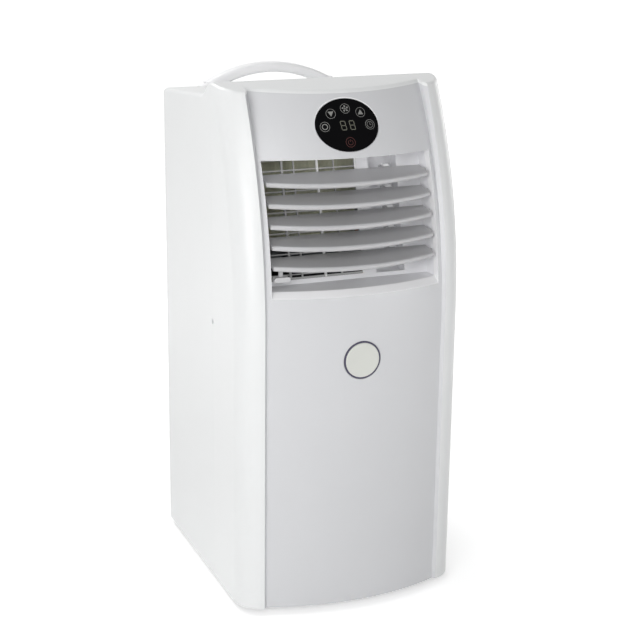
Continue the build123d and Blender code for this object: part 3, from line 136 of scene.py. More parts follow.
# Moulded plastic: faint mottle, uneven gloss and a fine surface grain; each zone takes a colour of its own
def mouldedPlastic(name, look, zones=()):
    material, shader, wire, coords = startMaterial(name)
    mottle = wire.noise(coords, look["mottleScale"], look["mottleDetail"])
    grain = wire.noise(coords, look["grainScale"], look["grainDetail"])
    shades = (1 - look["mottle"], 1 + look["mottle"])
    colour = mottle.tint(look["colour"], shades)
    for zone, zoneColour in zones:
        colour = zone(wire, coords).blend(colour, mottle.tint(zoneColour, shades))
    feed(shader, "Base Color", colour)
    feed(shader, "Roughness", look["roughness"] + (mottle - noiseMiddle) * look["glossSpread"])
    feed(shader, "Coat Weight", look["coat"])
    feed(shader, "Coat Roughness", look["coatRoughness"])
    feed(shader, "Normal", wire.add("ShaderNodeBump", None, {
        "Strength": look["grainStrength"], "Distance": look["grainDepth"], "Height": grain}))
    return material


plasticBase = {
    "mottle": 0.012, "mottleScale": 14.0, "mottleDetail": 3.0, "glossSpread": 0.06,
    "coat": 0.0, "coatRoughness": 0.08,
    "grainScale": 700.0, "grainDetail": 1.0, "grainStrength": 0.12, "grainDepth": 0.0001,
}
plasticLooks = {
    "caseWhite": {"colour": (0.79, 0.80, 0.80), "roughness": 0.36},
    # The handle is whiter than the case as painted light on its face
    "handlePaintedLight": {"colour": (0.94, 0.94, 0.95), "roughness": 0.36},
    # The louvres are darkened to grey as painted shade, for the shade on their tops
    "louvrePaintedShade": {"colour": (0.51, 0.51, 0.52), "roughness": 0.34},
    # The link is brightened as a painted highlight, for its glints inside the window
    "linkPaintedHighlight": {"colour": (0.93, 0.93, 0.94), "roughness": 0.12},
    # The duct's walls are brightened past the case's white as painted light, where light falls into the
    # window
    "ductPaintedLight": {"colour": (0.86, 0.86, 0.88), "roughness": 0.42, "mottle": 0.02},
    "innerGrey": {"colour": (0.30, 0.31, 0.33), "roughness": 0.5, "mottle": 0.04},
    "castorBlack": {"colour": (0.028, 0.028, 0.03), "roughness": 0.45, "mottle": 0.1, "grainStrength": 0.3},
    "softBlack": {"colour": (0.02, 0.02, 0.021), "roughness": 0.7, "mottle": 0.15, "grainStrength": 0.4},
    "boardGreen": {"colour": (0.02, 0.11, 0.05), "roughness": 0.35, "mottle": 0.08},
    "netGrey": {"colour": (0.10, 0.11, 0.12), "roughness": 0.6, "mottle": 0.1},
}
plastics = {name: mouldedPlastic(name, {**plasticBase, **look}) for name, look in plasticLooks.items()}


# The front moulding: painted shade greys the panel between the columns, and painted light brightens a rim
# round the window and the lens
frontLook = {
    "colour": (0.79, 0.80, 0.80), "roughness": 0.33,
    "panelPaintedShadeColour": (0.635, 0.64, 0.655), "panelHalf": 0.1274,
    "roofHeight": 0.700, "roofStart": -0.0435, "roofSlope": math.tan(math.radians(8)), "roofEdge": 0.004,
    "rimPaintedLightColour": (0.93, 0.93, 0.94), "windowHalf": 0.1172, "windowLow": 0.4408, "windowHigh": 0.6112,
    "lensHeight": 0.651, "lensHalfWidth": 0.0444, "lensHalfHeight": 0.0325,
}


# Painted shade on the panel: between the columns, and below the hood's sloping roof
def panelPaintedShadeZone(wire, coords):
    x, y, z = axes(wire, coords)
    roof = (y - frontLook["roofStart"]) * frontLook["roofSlope"] + frontLook["roofHeight"]
    between = wire.maths("LESS_THAN", wire.maths("ABSOLUTE", x), frontLook["panelHalf"])
    return between * wire.maths("GREATER_THAN", roof - z, frontLook["roofEdge"])


# Painted light: the window's reveals and sill, and the surround of the lens, are brightened
def rimPaintedLightZone(wire, coords):
    x, _, z = axes(wire, coords)
    within = wire.maths("LESS_THAN", wire.maths("ABSOLUTE", x), frontLook["windowHalf"])
    over = wire.maths("GREATER_THAN", z, frontLook["windowLow"])
    under = wire.maths("LESS_THAN", z, frontLook["windowHigh"])
    u = x / frontLook["lensHalfWidth"]
    v = (z - frontLook["lensHeight"]) / frontLook["lensHalfHeight"]
    return wire.maths("MAXIMUM", within * over * under, wire.maths("LESS_THAN", u * u + v * v, 1.0))


# The badge: a pale dish inside a dark ring
badgeLook = {
    "colour": (0.64, 0.65, 0.61), "roughness": 0.34, "coat": 0.3,
    "ringColour": (0.035, 0.03, 0.07), "height": 0.354, "dish": 0.0233,
}


def ringZone(wire, coords):
    x, _, z = axes(wire, coords)
    rise = z - badgeLook["height"]
    return wire.maths("GREATER_THAN", x * x + rise * rise, badgeLook["dish"] ** 2)


plastics["frontWhite"] = mouldedPlastic("frontWhite", {**plasticBase, **frontLook}, (
    (panelPaintedShadeZone, frontLook["panelPaintedShadeColour"]), (rimPaintedLightZone, frontLook["rimPaintedLightColour"])))
plastics["badgeSilver"] = mouldedPlastic("badgeSilver", {**plasticBase, **badgeLook}, (
    (ringZone, badgeLook["ringColour"]),))
print("plastics made:", len(plastics))


# Metal and coated metal: streaks drawn out along one axis, with dull patches
def drawnMetal(name, look):
    material, shader, wire, coords = startMaterial(name)
    stretched = wire.add("ShaderNodeMapping", None, {"Vector": coords, "Scale": look["stretch"]})
    streak = wire.noise(stretched, look["streakScale"], look["streakDetail"])
    patch = wire.noise(coords, look["patchScale"], look["patchDetail"])
    shade = streak * look["streakShare"] + patch * (1 - look["streakShare"])
    feed(shader, "Base Color", shade.tint(look["colour"], (1 - look["spread"], 1 + look["spread"])))
    feed(shader, "Metallic", look["metallic"])
    feed(shader, "Roughness", look["roughness"] + (patch - noiseMiddle) * look["glossSpread"])
    feed(shader, "Normal", wire.add("ShaderNodeBump", None, {
        "Strength": look["streakStrength"], "Distance": look["streakDepth"], "Height": streak}))
    return material


metalBase = {
    "streakDetail": 4.0, "streakShare": 0.6, "streakStrength": 0.15, "streakDepth": 0.0001,
    "patchDetail": 3.0, "glossSpread": 0.25, "stretch": (1.0, 1.0, 1.0),
}
metalLooks = {
    # The evaporator fins' gold is their own colour, made brighter as painted light where shade falls on them
    # deep in the case
    "coilGoldPaintedLight": {"colour": (0.86, 0.86, 0.70), "metallic": 0.0, "roughness": 0.5, "spread": 0.2,
                 "stretch": (1.0, 1.0, 0.05), "streakScale": 500.0, "patchScale": 60.0},
    "coilSilver": {"colour": (0.60, 0.61, 0.62), "metallic": 0.9, "roughness": 0.42, "spread": 0.12,
                   "stretch": (1.0, 1.0, 0.05), "streakScale": 500.0, "patchScale": 50.0},
    "copper": {"colour": (0.66, 0.34, 0.20), "metallic": 1.0, "roughness": 0.34, "spread": 0.15,
               "streakScale": 90.0, "patchScale": 40.0},
    "zincSteel": {"colour": (0.56, 0.57, 0.58), "metallic": 1.0, "roughness": 0.36, "spread": 0.12,
                  "stretch": (1.0, 0.1, 1.0), "streakScale": 300.0, "patchScale": 70.0},
    "blackSteel": {"colour": (0.03, 0.03, 0.033), "metallic": 0.0, "roughness": 0.38, "spread": 0.2,
                   "streakScale": 160.0, "patchScale": 30.0},
}
metals = {name: drawnMetal(name, {**metalBase, **look}) for name, look in metalLooks.items()}
print("metals made:", len(metals))


# Coil ends: galvanised end plates, and copper bends that stand out of them
def coilEnds(name, finsNode, look):
    low, high = (Vector(corner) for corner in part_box(finsNode))
    middle = (low.x + high.x) / 2
    plateFace = (high.x - low.x) / 2 + look["plate"]
    material, shader, wire, coords = startMaterial(name)
    across = axes(wire, coords)[0]
    bends = wire.maths("GREATER_THAN", wire.maths("ABSOLUTE", across - middle), plateFace)
    tarnish = wire.noise(coords, look["tarnishScale"], look["tarnishDetail"])
    plateColour = tarnish.tint(look["plateColour"], look["plateShades"])
    bendColour = tarnish.tint(look["bendColour"], look["bendShades"])
    feed(shader, "Base Color", bends.blend(plateColour, bendColour))
    feed(shader, "Metallic", look["plateMetallic"] + bends * (1 - look["plateMetallic"]))
    feed(shader, "Roughness", look["roughness"] + (tarnish - noiseMiddle) * look["glossSpread"])
    return material


coilEndLook = {
    "plate": 0.0016, "plateColour": (0.50, 0.50, 0.46), "plateShades": (0.8, 1.15), "plateMetallic": 0.4,
    "bendColour": (0.66, 0.34, 0.20), "bendShades": (0.75, 1.2),
    "tarnishScale": 60.0, "tarnishDetail": 4.0, "roughness": 0.4, "glossSpread": 0.2,
}
evaporatorEnds = coilEnds("evaporatorEnds", "evaporator_fins", coilEndLook)
condenserEnds = coilEnds("condenserEnds", "condenser_fins", coilEndLook)
print("coil ends made")


# Printed ink on the lens: nearly flat, a little uneven
def printedInk(name, colour, look):
    material, shader, wire, coords = startMaterial(name)
    speckle = wire.noise(coords, look["speckleScale"], look["speckleDetail"])
    feed(shader, "Base Color", speckle.tint(colour, look["shades"]))
    feed(shader, "Roughness", look["roughness"] + speckle * look["glossSpread"])
    return material


# Smoked lens: black with a deep gloss and a breath of haze
def smokedLens(name, look):
    material, shader, wire, coords = startMaterial(name)
    haze = wire.noise(coords, look["hazeScale"], look["hazeDetail"])
    feed(shader, "Base Color", haze.tint(look["colour"], look["shades"]))
    feed(shader, "Roughness", look["roughness"] + haze * look["glossSpread"])
    feed(shader, "Specular IOR Level", look["specular"])
    return material


lensLook = {
    "colour": (0.0025, 0.0025, 0.003), "shades": (0.8, 1.3), "hazeScale": 25.0, "hazeDetail": 4.0,
    "roughness": 0.17, "glossSpread": 0.06, "specular": 0.03,
}
inkLook = {
    "shades": (0.9, 1.1), "speckleScale": 900.0, "speckleDetail": 2.0, "roughness": 0.35, "glossSpread": 0.1,
}
inkColours = {"inkGrey": (0.22, 0.22, 0.21), "inkDim": (0.13, 0.13, 0.10), "inkRed": (0.07, 0.010, 0.008)}
lensBlack = smokedLens("lensBlack", lensLook)
inks = {name: printedInk(name, colour, inkLook) for name, colour in inkColours.items()}
print("lens and inks made")


def addObject(name, data):
    holder = bpy.data.objects.new(name, data)
    bpy.context.scene.collection.objects.link(holder)
    return holder


# Geometry Nodes tree with a named input for each size
socketKinds = {float: "NodeSocketFloat", int: "NodeSocketInt", tuple: "NodeSocketVector"}


def startTree(name, sizes):
    tree = bpy.data.node_groups.new(name, "GeometryNodeTree")
    tree.interface.new_socket("Geometry", in_out="OUTPUT", socket_type="NodeSocketGeometry")
    tree.interface.new_socket("Geometry", in_out="INPUT", socket_type="NodeSocketGeometry")
    for label, value in sizes.items():
        socket = tree.interface.new_socket(label, in_out="INPUT", socket_type=socketKinds[type(value)])
        socket.default_value = value
    entry = tree.nodes.new("NodeGroupInput")
    inputs = {socket.name: Wire(tree, socket) for socket in entry.outputs if socket.name}
    return tree, Wire(tree), inputs


def endTree(tree, wire, geometry, material=None):
    if material:
        solid = wire.add("GeometryNodeRealizeInstances", None, {"Geometry": geometry})
        geometry = wire.add("GeometryNodeSetMaterial", None, {"Geometry": solid, "Material": material})
    leave = tree.nodes.new("NodeGroupOutput")
    tree.links.new(geometry.socket, leave.inputs[0])
    return tree


def setSizes(modifier, tree, sizes):
    for item in tree.interface.items_tree:
        if item.in_out == "INPUT" and item.name in sizes:
            modifier[item.identifier] = sizes[item.name]


# A plain mesh from a tree, made at the given sizes
def grow(name, makeTree, material, sizes):
    seed = addObject(name + "Seed", bpy.data.meshes.new(name + "Seed"))
    modifier = seed.modifiers.new("grow", "NODES")
    modifier.node_group = makeTree(name, material, sizes)
    setSizes(modifier, modifier.node_group, sizes)
    depsgraph = bpy.context.evaluated_depsgraph_get()
    mesh = bpy.data.meshes.new_from_object(seed.evaluated_get(depsgraph))
    bpy.data.objects.remove(seed)
    mesh.name = name
    return addObject(name, mesh)


def combineXyz(wire, x=0.0, y=0.0, z=0.0):
    return wire.add("ShaderNodeCombineXYZ", None, {0: x, 1: y, 2: z})


def blockMesh(wire, x, y, z):
    return wire.add("GeometryNodeMeshCube", None, {"Size": combineXyz(wire, x, y, z)})


def rodMesh(wire, sides, radius, length):
    return wire.add("GeometryNodeMeshCylinder", None, {"Vertices": sides, "Radius": radius, "Depth": length})


def pointRow(wire, count, start, step):
    return wire.add("GeometryNodeMeshLine", None, {"Count": count, "Start Location": start, "Offset": step})


def setOut(wire, points, piece):
    return wire.add("GeometryNodeInstanceOnPoints", None, {"Points": points, "Instance": piece})


def moved(wire, piece, place, turn=(0, 0, 0)):
    return wire.add("GeometryNodeTransform", None, {
        "Geometry": piece, "Translation": place, "Rotation": turn})


def joined(wire, pieces):
    together = wire.add("GeometryNodeJoinGeometry")
    for piece in pieces:
        wire.tree.links.new(piece.socket, together.socket.node.inputs[0])
    return together


# Smooth skin for the CAD nodes: merge the loose triangles, keep real corners sharp
skinLook = {"merge": 0.00001, "corner": math.radians(32), "faceWeight": 50}


def smoothSkinTree():
    tree, wire, inputs = startTree("smoothSkin", {"Merge": skinLook["merge"], "Corner": skinLook["corner"]})
    merged = wire.add("GeometryNodeMergeByDistance", None, {
        "Geometry": inputs["Geometry"], "Distance": inputs["Merge"]})
    faces = wire.add("GeometryNodeSetShadeSmooth", {"domain": "FACE"}, {
        "Geometry": merged, "Shade Smooth": True})
    angle = wire.add("GeometryNodeInputMeshEdgeAngle")
    sharp = wire.add("FunctionNodeCompare", {"data_type": "FLOAT", "operation": "GREATER_THAN"}, {
        0: angle, 1: inputs["Corner"]})
    edges = wire.add("GeometryNodeSetShadeSmooth", {"domain": "EDGE"}, {
        "Geometry": faces, "Selection": sharp, "Shade Smooth": False})
    return endTree(tree, wire, edges)


smoothSkin = smoothSkinTree()


def dress(node, material):
    piece = nodes[node]
    piece.data.materials.clear()
    piece.data.materials.append(material)
    skin = piece.modifiers.new("smoothSkin", "NODES")
    skin.node_group = smoothSkin
    even = piece.modifiers.new("evenNormals", "WEIGHTED_NORMAL")
    even.keep_sharp = True
    even.weight = skinLook["faceWeight"]


nodeFinish = {
    "front_shell": plastics["frontWhite"], "rear_shell": plastics["caseWhite"],
    "carry_handle": plastics["handlePaintedLight"], "intake_grille": plastics["caseWhite"],
    "lower_grille": plastics["caseWhite"], "exhaust_collar": plastics["caseWhite"],
    "base_pan": plastics["innerGrey"], "mid_deck": plastics["innerGrey"],
    "drain_tray": plastics["softBlack"], "front_badge": plastics["badgeSilver"],
    "control_lens": lensBlack, "control_board": plastics["boardGreen"],
    "outlet_duct": plastics["ductPaintedLight"], "louvre_link": plastics["linkPaintedHighlight"],
    "evaporator_ends": evaporatorEnds, "evaporator_scroll": plastics["innerGrey"],
    "evaporator_wheel": plastics["castorBlack"], "evaporator_motor": metals["zincSteel"],
    "condenser_ends": condenserEnds, "condenser_scroll": plastics["innerGrey"],
    "condenser_wheel": plastics["castorBlack"], "condenser_motor": metals["zincSteel"],
    "exhaust_duct": plastics["innerGrey"], "compressor": metals["blackSteel"],
    "compressor_grommets": plastics["softBlack"], "compressor_bolts": metals["zincSteel"],
    "accumulator": metals["blackSteel"], "refrigerant_pipes": metals["copper"],
    "control_box": plastics["innerGrey"], "power_board": plastics["boardGreen"],
    "run_capacitor": metals["zincSteel"], "filter_frame": plastics["castorBlack"],
    "cord_gland": plastics["castorBlack"], "drain_plug": plastics["castorBlack"],
}
for number in range(1, 6):
    nodeFinish[f"louvre_{number}"] = plastics["louvrePaintedShade"]
for number in range(1, 5):
    nodeFinish[f"castor_fork_{number}"] = plastics["castorBlack"]
    nodeFinish[f"castor_wheel_{number}"] = plastics["softBlack"]
    nodeFinish[f"castor_axle_{number}"] = metals["zincSteel"]
for node, finish in nodeFinish.items():
    dress(node, finish)
print("CAD nodes dressed:", len(nodeFinish))


# Coil fins: thin upright plates side by side across a coil's block
def finStackTree(name, material, sizes):
    tree, wire, inputs = startTree(name, sizes)
    row = pointRow(wire, inputs["Count"], inputs["First"], combineXyz(wire, x=inputs["Pitch"]))
    plate = blockMesh(wire, inputs["Thickness"], inputs["Depth"], inputs["Height"])
    return endTree(tree, wire, setOut(wire, row, plate), material)


coilLooks = {
    "evaporatorFins": {"node": "evaporator_fins", "slot": "fins", "finish": "coilGoldPaintedLight",
                       "pitch": 0.0019, "thickness": 0.0003},
    "condenserFins": {"node": "condenser_fins", "slot": "bare_fins", "finish": "coilSilver",
                      "pitch": 0.0021, "thickness": 0.0003},
}
for name, look in coilLooks.items():
    low, high = (Vector(corner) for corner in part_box(look["node"]))
    size = high - low
    count = int((size.x - look["thickness"]) / look["pitch"]) + 1
    inset = (size.x - (count - 1) * look["pitch"]) / 2
    fins = grow(name, finStackTree, metals[look["finish"]], {
        "First": (low.x + inset, (low.y + high.y) / 2, (low.z + high.z) / 2),
        "Count": count, "Pitch": look["pitch"], "Thickness": look["thickness"],
        "Depth": size.y, "Height": size.z,
    })
    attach(fins, "housing")
    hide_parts(look["node"])
print("coil fins grown")


# Outlet guard: level bars and uprights in a leaning frame; one inner upright and the right edge are paler
guardLook = {
    "colour": (0.40, 0.40, 0.40), "paleColour": (0.86, 0.86, 0.86), "roughness": 0.4,
    "lean": math.radians(14.79), "thickness": 0.003, "setBack": 0.0003, "bar": 0.0026, "thinBar": 0.0016,
    "leftBar": -0.0776, "paleBar": -0.0286, "thinLeft": -0.0613, "thinRight": -0.0054,
    "rows": 6, "topRow": 0.0628, "rowPitch": 0.0269,
}
guardLow, guardHigh = (Vector(corner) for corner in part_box("outlet_guard"))
guardSize = guardHigh - guardLow
guardCentre = (guardLow + guardHigh) / 2
guardEdge = (guardSize.x - guardLook["bar"]) / 2
slantedDepth = guardLook["thickness"] * math.sin(guardLook["lean"])


def paleBarZone(wire, coords):
    x = axes(wire, coords)[0]
    aside = wire.maths("ABSOLUTE", x - guardLook["paleBar"])
    inner = wire.maths("LESS_THAN", aside, guardLook["bar"] / 2)
    return wire.maths("MAXIMUM", inner, wire.maths("GREATER_THAN", x, guardHigh.x - guardLook["bar"]))


# Level bars are set back a little from the uprights' faces, and all bars are fused into one
def outletGuardTree(name, material, sizes):
    tree, wire, inputs = startTree(name, sizes)
    length = inputs["Width"] - inputs["Bar"]
    depth = inputs["Thickness"] - inputs["SetBack"] * 2
    start = combineXyz(wire, z=inputs["TopRow"])
    rows = pointRow(wire, inputs["Rows"], start, combineXyz(wire, z=inputs["RowPitch"] * -1))
    bars = [setOut(wire, rows, blockMesh(wire, length, depth, inputs["ThinBar"]))]
    levelBar = blockMesh(wire, length, depth, inputs["Bar"])
    for end in (-0.5, 0.5):
        bars.append(moved(wire, levelBar, combineXyz(wire, z=(inputs["Height"] - inputs["Bar"]) * end)))
    for place, width in (("LeftEdge", "Bar"), ("RightEdge", "Bar"), ("LeftBar", "Bar"), ("PaleBar", "Bar"),
                         ("ThinLeft", "ThinBar"), ("ThinRight", "ThinBar")):
        upright = blockMesh(wire, inputs[width], inputs["Thickness"], inputs["Height"])
        bars.append(moved(wire, upright, combineXyz(wire, x=inputs[place])))
    solid = wire.add("GeometryNodeRealizeInstances", None, {"Geometry": joined(wire, bars)})
    fused = wire.add("GeometryNodeMeshBoolean", {"operation": "UNION", "solver": "EXACT"}, {
        "Mesh 2": solid, "Self Intersection": True})
    leaning = moved(wire, fused, inputs["Centre"], (-guardLook["lean"], 0, 0))
    return endTree(tree, wire, leaning, material)


plastics["guardGrey"] = mouldedPlastic("guardGrey", {**plasticBase, **guardLook}, (
    (paleBarZone, guardLook["paleColour"]),))
outletGuard = grow("outletGuard", outletGuardTree, plastics["guardGrey"], {
    "Centre": tuple(guardCentre), "Width": guardSize.x,
    "Height": (guardSize.z - slantedDepth) / math.cos(guardLook["lean"]),
    "Thickness": guardLook["thickness"], "SetBack": guardLook["setBack"],
    "Bar": guardLook["bar"], "ThinBar": guardLook["thinBar"],
    "LeftEdge": -guardEdge, "RightEdge": guardEdge,
    "LeftBar": guardLook["leftBar"] - guardCentre.x, "PaleBar": guardLook["paleBar"] - guardCentre.x,
    "ThinLeft": guardLook["thinLeft"] - guardCentre.x, "ThinRight": guardLook["thinRight"] - guardCentre.x,
    "Rows": guardLook["rows"], "TopRow": guardLook["topRow"], "RowPitch": guardLook["rowPitch"],
})
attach(outletGuard, "housing")
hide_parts("outlet_guard")
print("outlet guard grown:", len(outletGuard.data.polygons), "faces")


# Filter net: crossed strands over the filter's frame
def filterNetTree(name, material, sizes):
    tree, wire, inputs = startTree(name, sizes)
    halfStep = inputs["Pitch"] * -0.5
    left = combineXyz(wire, x=(inputs["Across"] - 1) * halfStep)
    down = combineXyz(wire, z=(inputs["Up"] - 1) * halfStep)
    uprights = pointRow(wire, inputs["Across"], left, combineXyz(wire, x=inputs["Pitch"]))
    levels = pointRow(wire, inputs["Up"], down, combineXyz(wire, z=inputs["Pitch"]))
    upStrand = blockMesh(wire, inputs["Strand"], inputs["Strand"], inputs["Height"])
    levelStrand = blockMesh(wire, inputs["Width"], inputs["Strand"], inputs["Strand"])
    net = joined(wire, (setOut(wire, uprights, upStrand), setOut(wire, levels, levelStrand)))
    return endTree(tree, wire, moved(wire, net, inputs["Centre"]), material)


netLook = {"pitch": 0.0022, "strand": 0.0005}
netLow, netHigh = (Vector(corner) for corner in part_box("filter_mesh"))
netSize = netHigh - netLow
filterNet = grow("filterNet", filterNetTree, plastics["netGrey"], {
    "Centre": tuple((netLow + netHigh) / 2), "Across": int(netSize.x / netLook["pitch"]),
    "Up": int(netSize.z / netLook["pitch"]), "Pitch": netLook["pitch"], "Strand": netLook["strand"],
    "Width": netSize.x, "Height": netSize.z,
})
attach(filterNet, "filter_tray")
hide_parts("filter_mesh")
print("filter net grown")


# Seam screws: flat heads with a crossed drive, one on each side of the case
screwLook = {
    "radius": 0.0036, "thickness": 0.002, "headSides": 40,
    "shank": 0.0018, "length": 0.0115, "shankSides": 24, "shankDrop": -0.49,
    "slot": 0.001, "slotDepth": 0.0011, "slotReach": 1.3,
}


def seamScrewsTree(name, material, sizes):
    tree, wire, inputs = startTree(name, sizes)
    head = rodMesh(wire, inputs["HeadSides"], inputs["Radius"], inputs["Thickness"])
    shank = rodMesh(wire, inputs["ShankSides"], inputs["Shank"], inputs["Length"])
    drop = (inputs["Thickness"] + inputs["Length"]) * screwLook["shankDrop"]
    reach = inputs["Radius"] * screwLook["slotReach"]
    top = combineXyz(wire, z=inputs["Thickness"] * 0.5)
    for across, along in ((reach, inputs["Slot"]), (inputs["Slot"], reach)):
        bar = moved(wire, blockMesh(wire, across, along, inputs["SlotDepth"] * 2), top)
        head = wire.add("GeometryNodeMeshBoolean", {"operation": "DIFFERENCE", "solver": "EXACT"}, {
            "Mesh 1": head, "Mesh 2": bar})
    screw = joined(wire, (head, moved(wire, shank, combineXyz(wire, z=drop))))
    pair = []
    for side in (-1, 1):
        place = combineXyz(wire, inputs["Outer"] * side, inputs["Depth"], inputs["Height"])
        pair.append(moved(wire, screw, place, (0, side * math.radians(90), 0)))
    return endTree(tree, wire, joined(wire, pair), material)


screwLow, screwHigh = (Vector(corner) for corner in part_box("case_screws"))
seamScrews = grow("seamScrews", seamScrewsTree, metals["zincSteel"], {
    "Outer": screwHigh.x - screwLook["thickness"] / 2, "Depth": (screwLow.y + screwHigh.y) / 2,
    "Height": (screwLow.z + screwHigh.z) / 2, "Radius": screwLook["radius"],
    "Thickness": screwLook["thickness"], "HeadSides": screwLook["headSides"],
    "Shank": screwLook["shank"], "Length": screwLook["length"], "ShankSides": screwLook["shankSides"],
    "Slot": screwLook["slot"], "SlotDepth": screwLook["slotDepth"],
})
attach(seamScrews, "housing")
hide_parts("case_screws")
print("seam screws grown")


# Print on the lens: flat figures laid on its curved face, a hair proud; places and sizes in millimetres
millimetre = 0.001
lensPrint = {
    "proud": 0.12, "sunk": 0.25, "weld": 0.002, "rayStart": 20.0, "slopeSpan": 5.0,
    "ring": 6.6, "line": 0.5, "ringSteps": 48,
    "stepKeys": (20.5, 16.8), "triangle": 4.5, "triangleShift": 0.7,
    "fanKey": (0.0, 22.6), "fan": 4.6, "fanBlades": 5, "fanHub": 0.2, "hubHole": 0.02,
    "bladeShape": ((0.3, -0.1), (0.75, -0.22), (1.0, 0.1), (0.85, 0.36), (0.5, 0.22)),
    "sideKeys": 31.2, "modeOuter": 4.0, "modeInner": 2.9,
    "clock": 4.3, "upHandRise": 1.1, "upHand": 2.9,
    "sideHandShift": 0.9, "sideHandRise": -0.2, "sideHand": 1.9,
    "powerKey": (0.0, -22.4), "power": 3.5, "powerRise": -0.3, "powerArc": (120, 420),
    "powerBar": 3.4, "powerBarRise": 2.2,
    "digitGap": 6.1, "digitWidth": 6.4, "digitHeight": 11.6, "digitStroke": 0.9, "digitSlant": -0.12,
    "digitTrim": 0.18,
}
lensMesh = nodes["control_lens"].data
lensSkin = BVHTree.FromPolygons([v.co for v in lensMesh.vertices], [p.vertices for p in lensMesh.polygons])
lensLow, lensHigh = (Vector(corner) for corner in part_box("control_lens"))
rayLift = lensPrint["rayStart"] * millimetre
slopeSpan = lensPrint["slopeSpan"] * millimetre


def frontOfLens(z):
    return lensSkin.ray_cast(Vector((0, lensLow.y - rayLift, z)), Vector((0, 1, 0)))[0]


lensMiddle = frontOfLens((lensLow.z + lensHigh.z) / 2)
lensUp = (frontOfLens(lensMiddle.z + slopeSpan) - frontOfLens(lensMiddle.z - slopeSpan)).normalized()
lensAcross = Vector((1, 0, 0))
lensOut = lensAcross.cross(lensUp)


def onLens(u, v, lift):
    start = lensMiddle + (lensAcross * u + lensUp * v) * millimetre + lensOut * rayLift
    return lensSkin.ray_cast(start, -lensOut)[0] + lensOut * lift * millimetre


def ringFigure(u, v, outer, inner, start=0.0, end=360.0):
    rim = []
    for step in range(lensPrint["ringSteps"] + 1):
        angle = math.radians(start + (end - start) * step / lensPrint["ringSteps"])
        rim.append((math.cos(angle), math.sin(angle)))
    quads = []
    for (c0, s0), (c1, s1) in zip(rim, rim[1:]):
        quads.append([(u + outer * c0, v + outer * s0), (u + outer * c1, v + outer * s1),
                      (u + inner * c1, v + inner * s1), (u + inner * c0, v + inner * s0)])
    return quads


# One for a triangle that points up, minus one for down
def triangleFigure(u, v, radius, upward):
    points = []
    for corner in range(3):
        angle = math.radians(90 * upward + 120 * corner)
        points.append((u + radius * math.cos(angle), v + radius * math.sin(angle)))
    return [points]


def fanFigure(u, v, radius):
    figures = ringFigure(u, v, radius * lensPrint["fanHub"], lensPrint["hubHole"])
    for blade in range(lensPrint["fanBlades"]):
        turn = math.radians(90 + 360 * blade / lensPrint["fanBlades"])
        cosine, sine = math.cos(turn), math.sin(turn)
        figures.append([(u + radius * (a * cosine - b * sine), v + radius * (a * sine + b * cosine))
                        for a, b in lensPrint["bladeShape"]])
    return figures


# Seven bars with pointed ends: three level, four upright
def digitFigure(u, v):
    width, height, slant = lensPrint["digitWidth"], lensPrint["digitHeight"], lensPrint["digitSlant"]
    half = lensPrint["digitStroke"] / 2
    trim = lensPrint["digitStroke"] * lensPrint["digitTrim"]
    bars = []
    for level in (-1, 0, 1):
        y = level * height / 2
        reach = width / 2 - half - trim
        bars.append([(-reach - half, y), (-reach, y + half), (reach, y + half),
                     (reach + half, y), (reach, y - half), (-reach, y - half)])
    for side in (-1, 1):
        for level in (-1, 1):
            x = side * width / 2
            middle = level * height / 4
            reach = height / 4 - half - trim
            bars.append([(x, middle + reach + half), (x + half, middle + reach), (x + half, middle - reach),
                         (x, middle - reach - half), (x - half, middle - reach), (x - half, middle + reach)])
    return [[(u + x + slant * y, v + y) for x, y in bar] for bar in bars]


def barFigure(u, v, width, height):
    return [[(u - width / 2, v - height / 2), (u + width / 2, v - height / 2),
             (u + width / 2, v + height / 2), (u - width / 2, v + height / 2)]]


# Each figure becomes a thin slab; walls between neighbours that share a side are taken out
def printFigures(name, figures, material):
    book = bmesh.new()
    for figure in figures:
        front = [book.verts.new(onLens(u, v, lensPrint["proud"])) for u, v in figure]
        back = [book.verts.new(onLens(u, v, -lensPrint["sunk"])) for u, v in figure]
        book.faces.new(front)
        book.faces.new(back[::-1])
        for place in range(len(figure)):
            after = (place + 1) % len(figure)
            book.faces.new((front[place], back[place], back[after], front[after]))
    bmesh.ops.remove_doubles(book, verts=book.verts, dist=lensPrint["weld"] * millimetre)
    inner = [face for face in book.faces if all(len(edge.link_faces) > 2 for edge in face.edges)]
    bmesh.ops.delete(book, geom=inner, context="FACES_ONLY")
    bmesh.ops.recalc_face_normals(book, faces=book.faces)
    mesh = bpy.data.meshes.new(name)
    book.to_mesh(mesh)
    book.free()
    mesh.materials.append(material)
    piece = addObject(name, mesh)
    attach(piece, "housing")


ring, line = lensPrint["ring"], lensPrint["line"]
keyU, keyV = lensPrint["stepKeys"]
fanU, fanV = lensPrint["fanKey"]
powerU, powerV = lensPrint["powerKey"]
sideU = lensPrint["sideKeys"]
greyFigures = []
for u, v in ((-keyU, keyV), (keyU, keyV), (fanU, fanV), (-sideU, 0), (sideU, 0)):
    greyFigures += ringFigure(u, v, ring, ring - line)
for side in (-1, 1):
    triangleV = keyV - side * lensPrint["triangleShift"]
    greyFigures += triangleFigure(side * keyU, triangleV, lensPrint["triangle"], side)
greyFigures += fanFigure(fanU, fanV, lensPrint["fan"])
greyFigures += ringFigure(-sideU, 0, lensPrint["modeOuter"], lensPrint["modeInner"])
greyFigures += ringFigure(sideU, 0, lensPrint["clock"], lensPrint["clock"] - line)
greyFigures += barFigure(sideU, lensPrint["upHandRise"], line, lensPrint["upHand"])
greyFigures += barFigure(sideU + lensPrint["sideHandShift"], lensPrint["sideHandRise"],
                         lensPrint["sideHand"], line)
digitFigures = digitFigure(-lensPrint["digitGap"], 0) + digitFigure(lensPrint["digitGap"], 0)
redFigures = ringFigure(powerU, powerV, ring, ring - line)
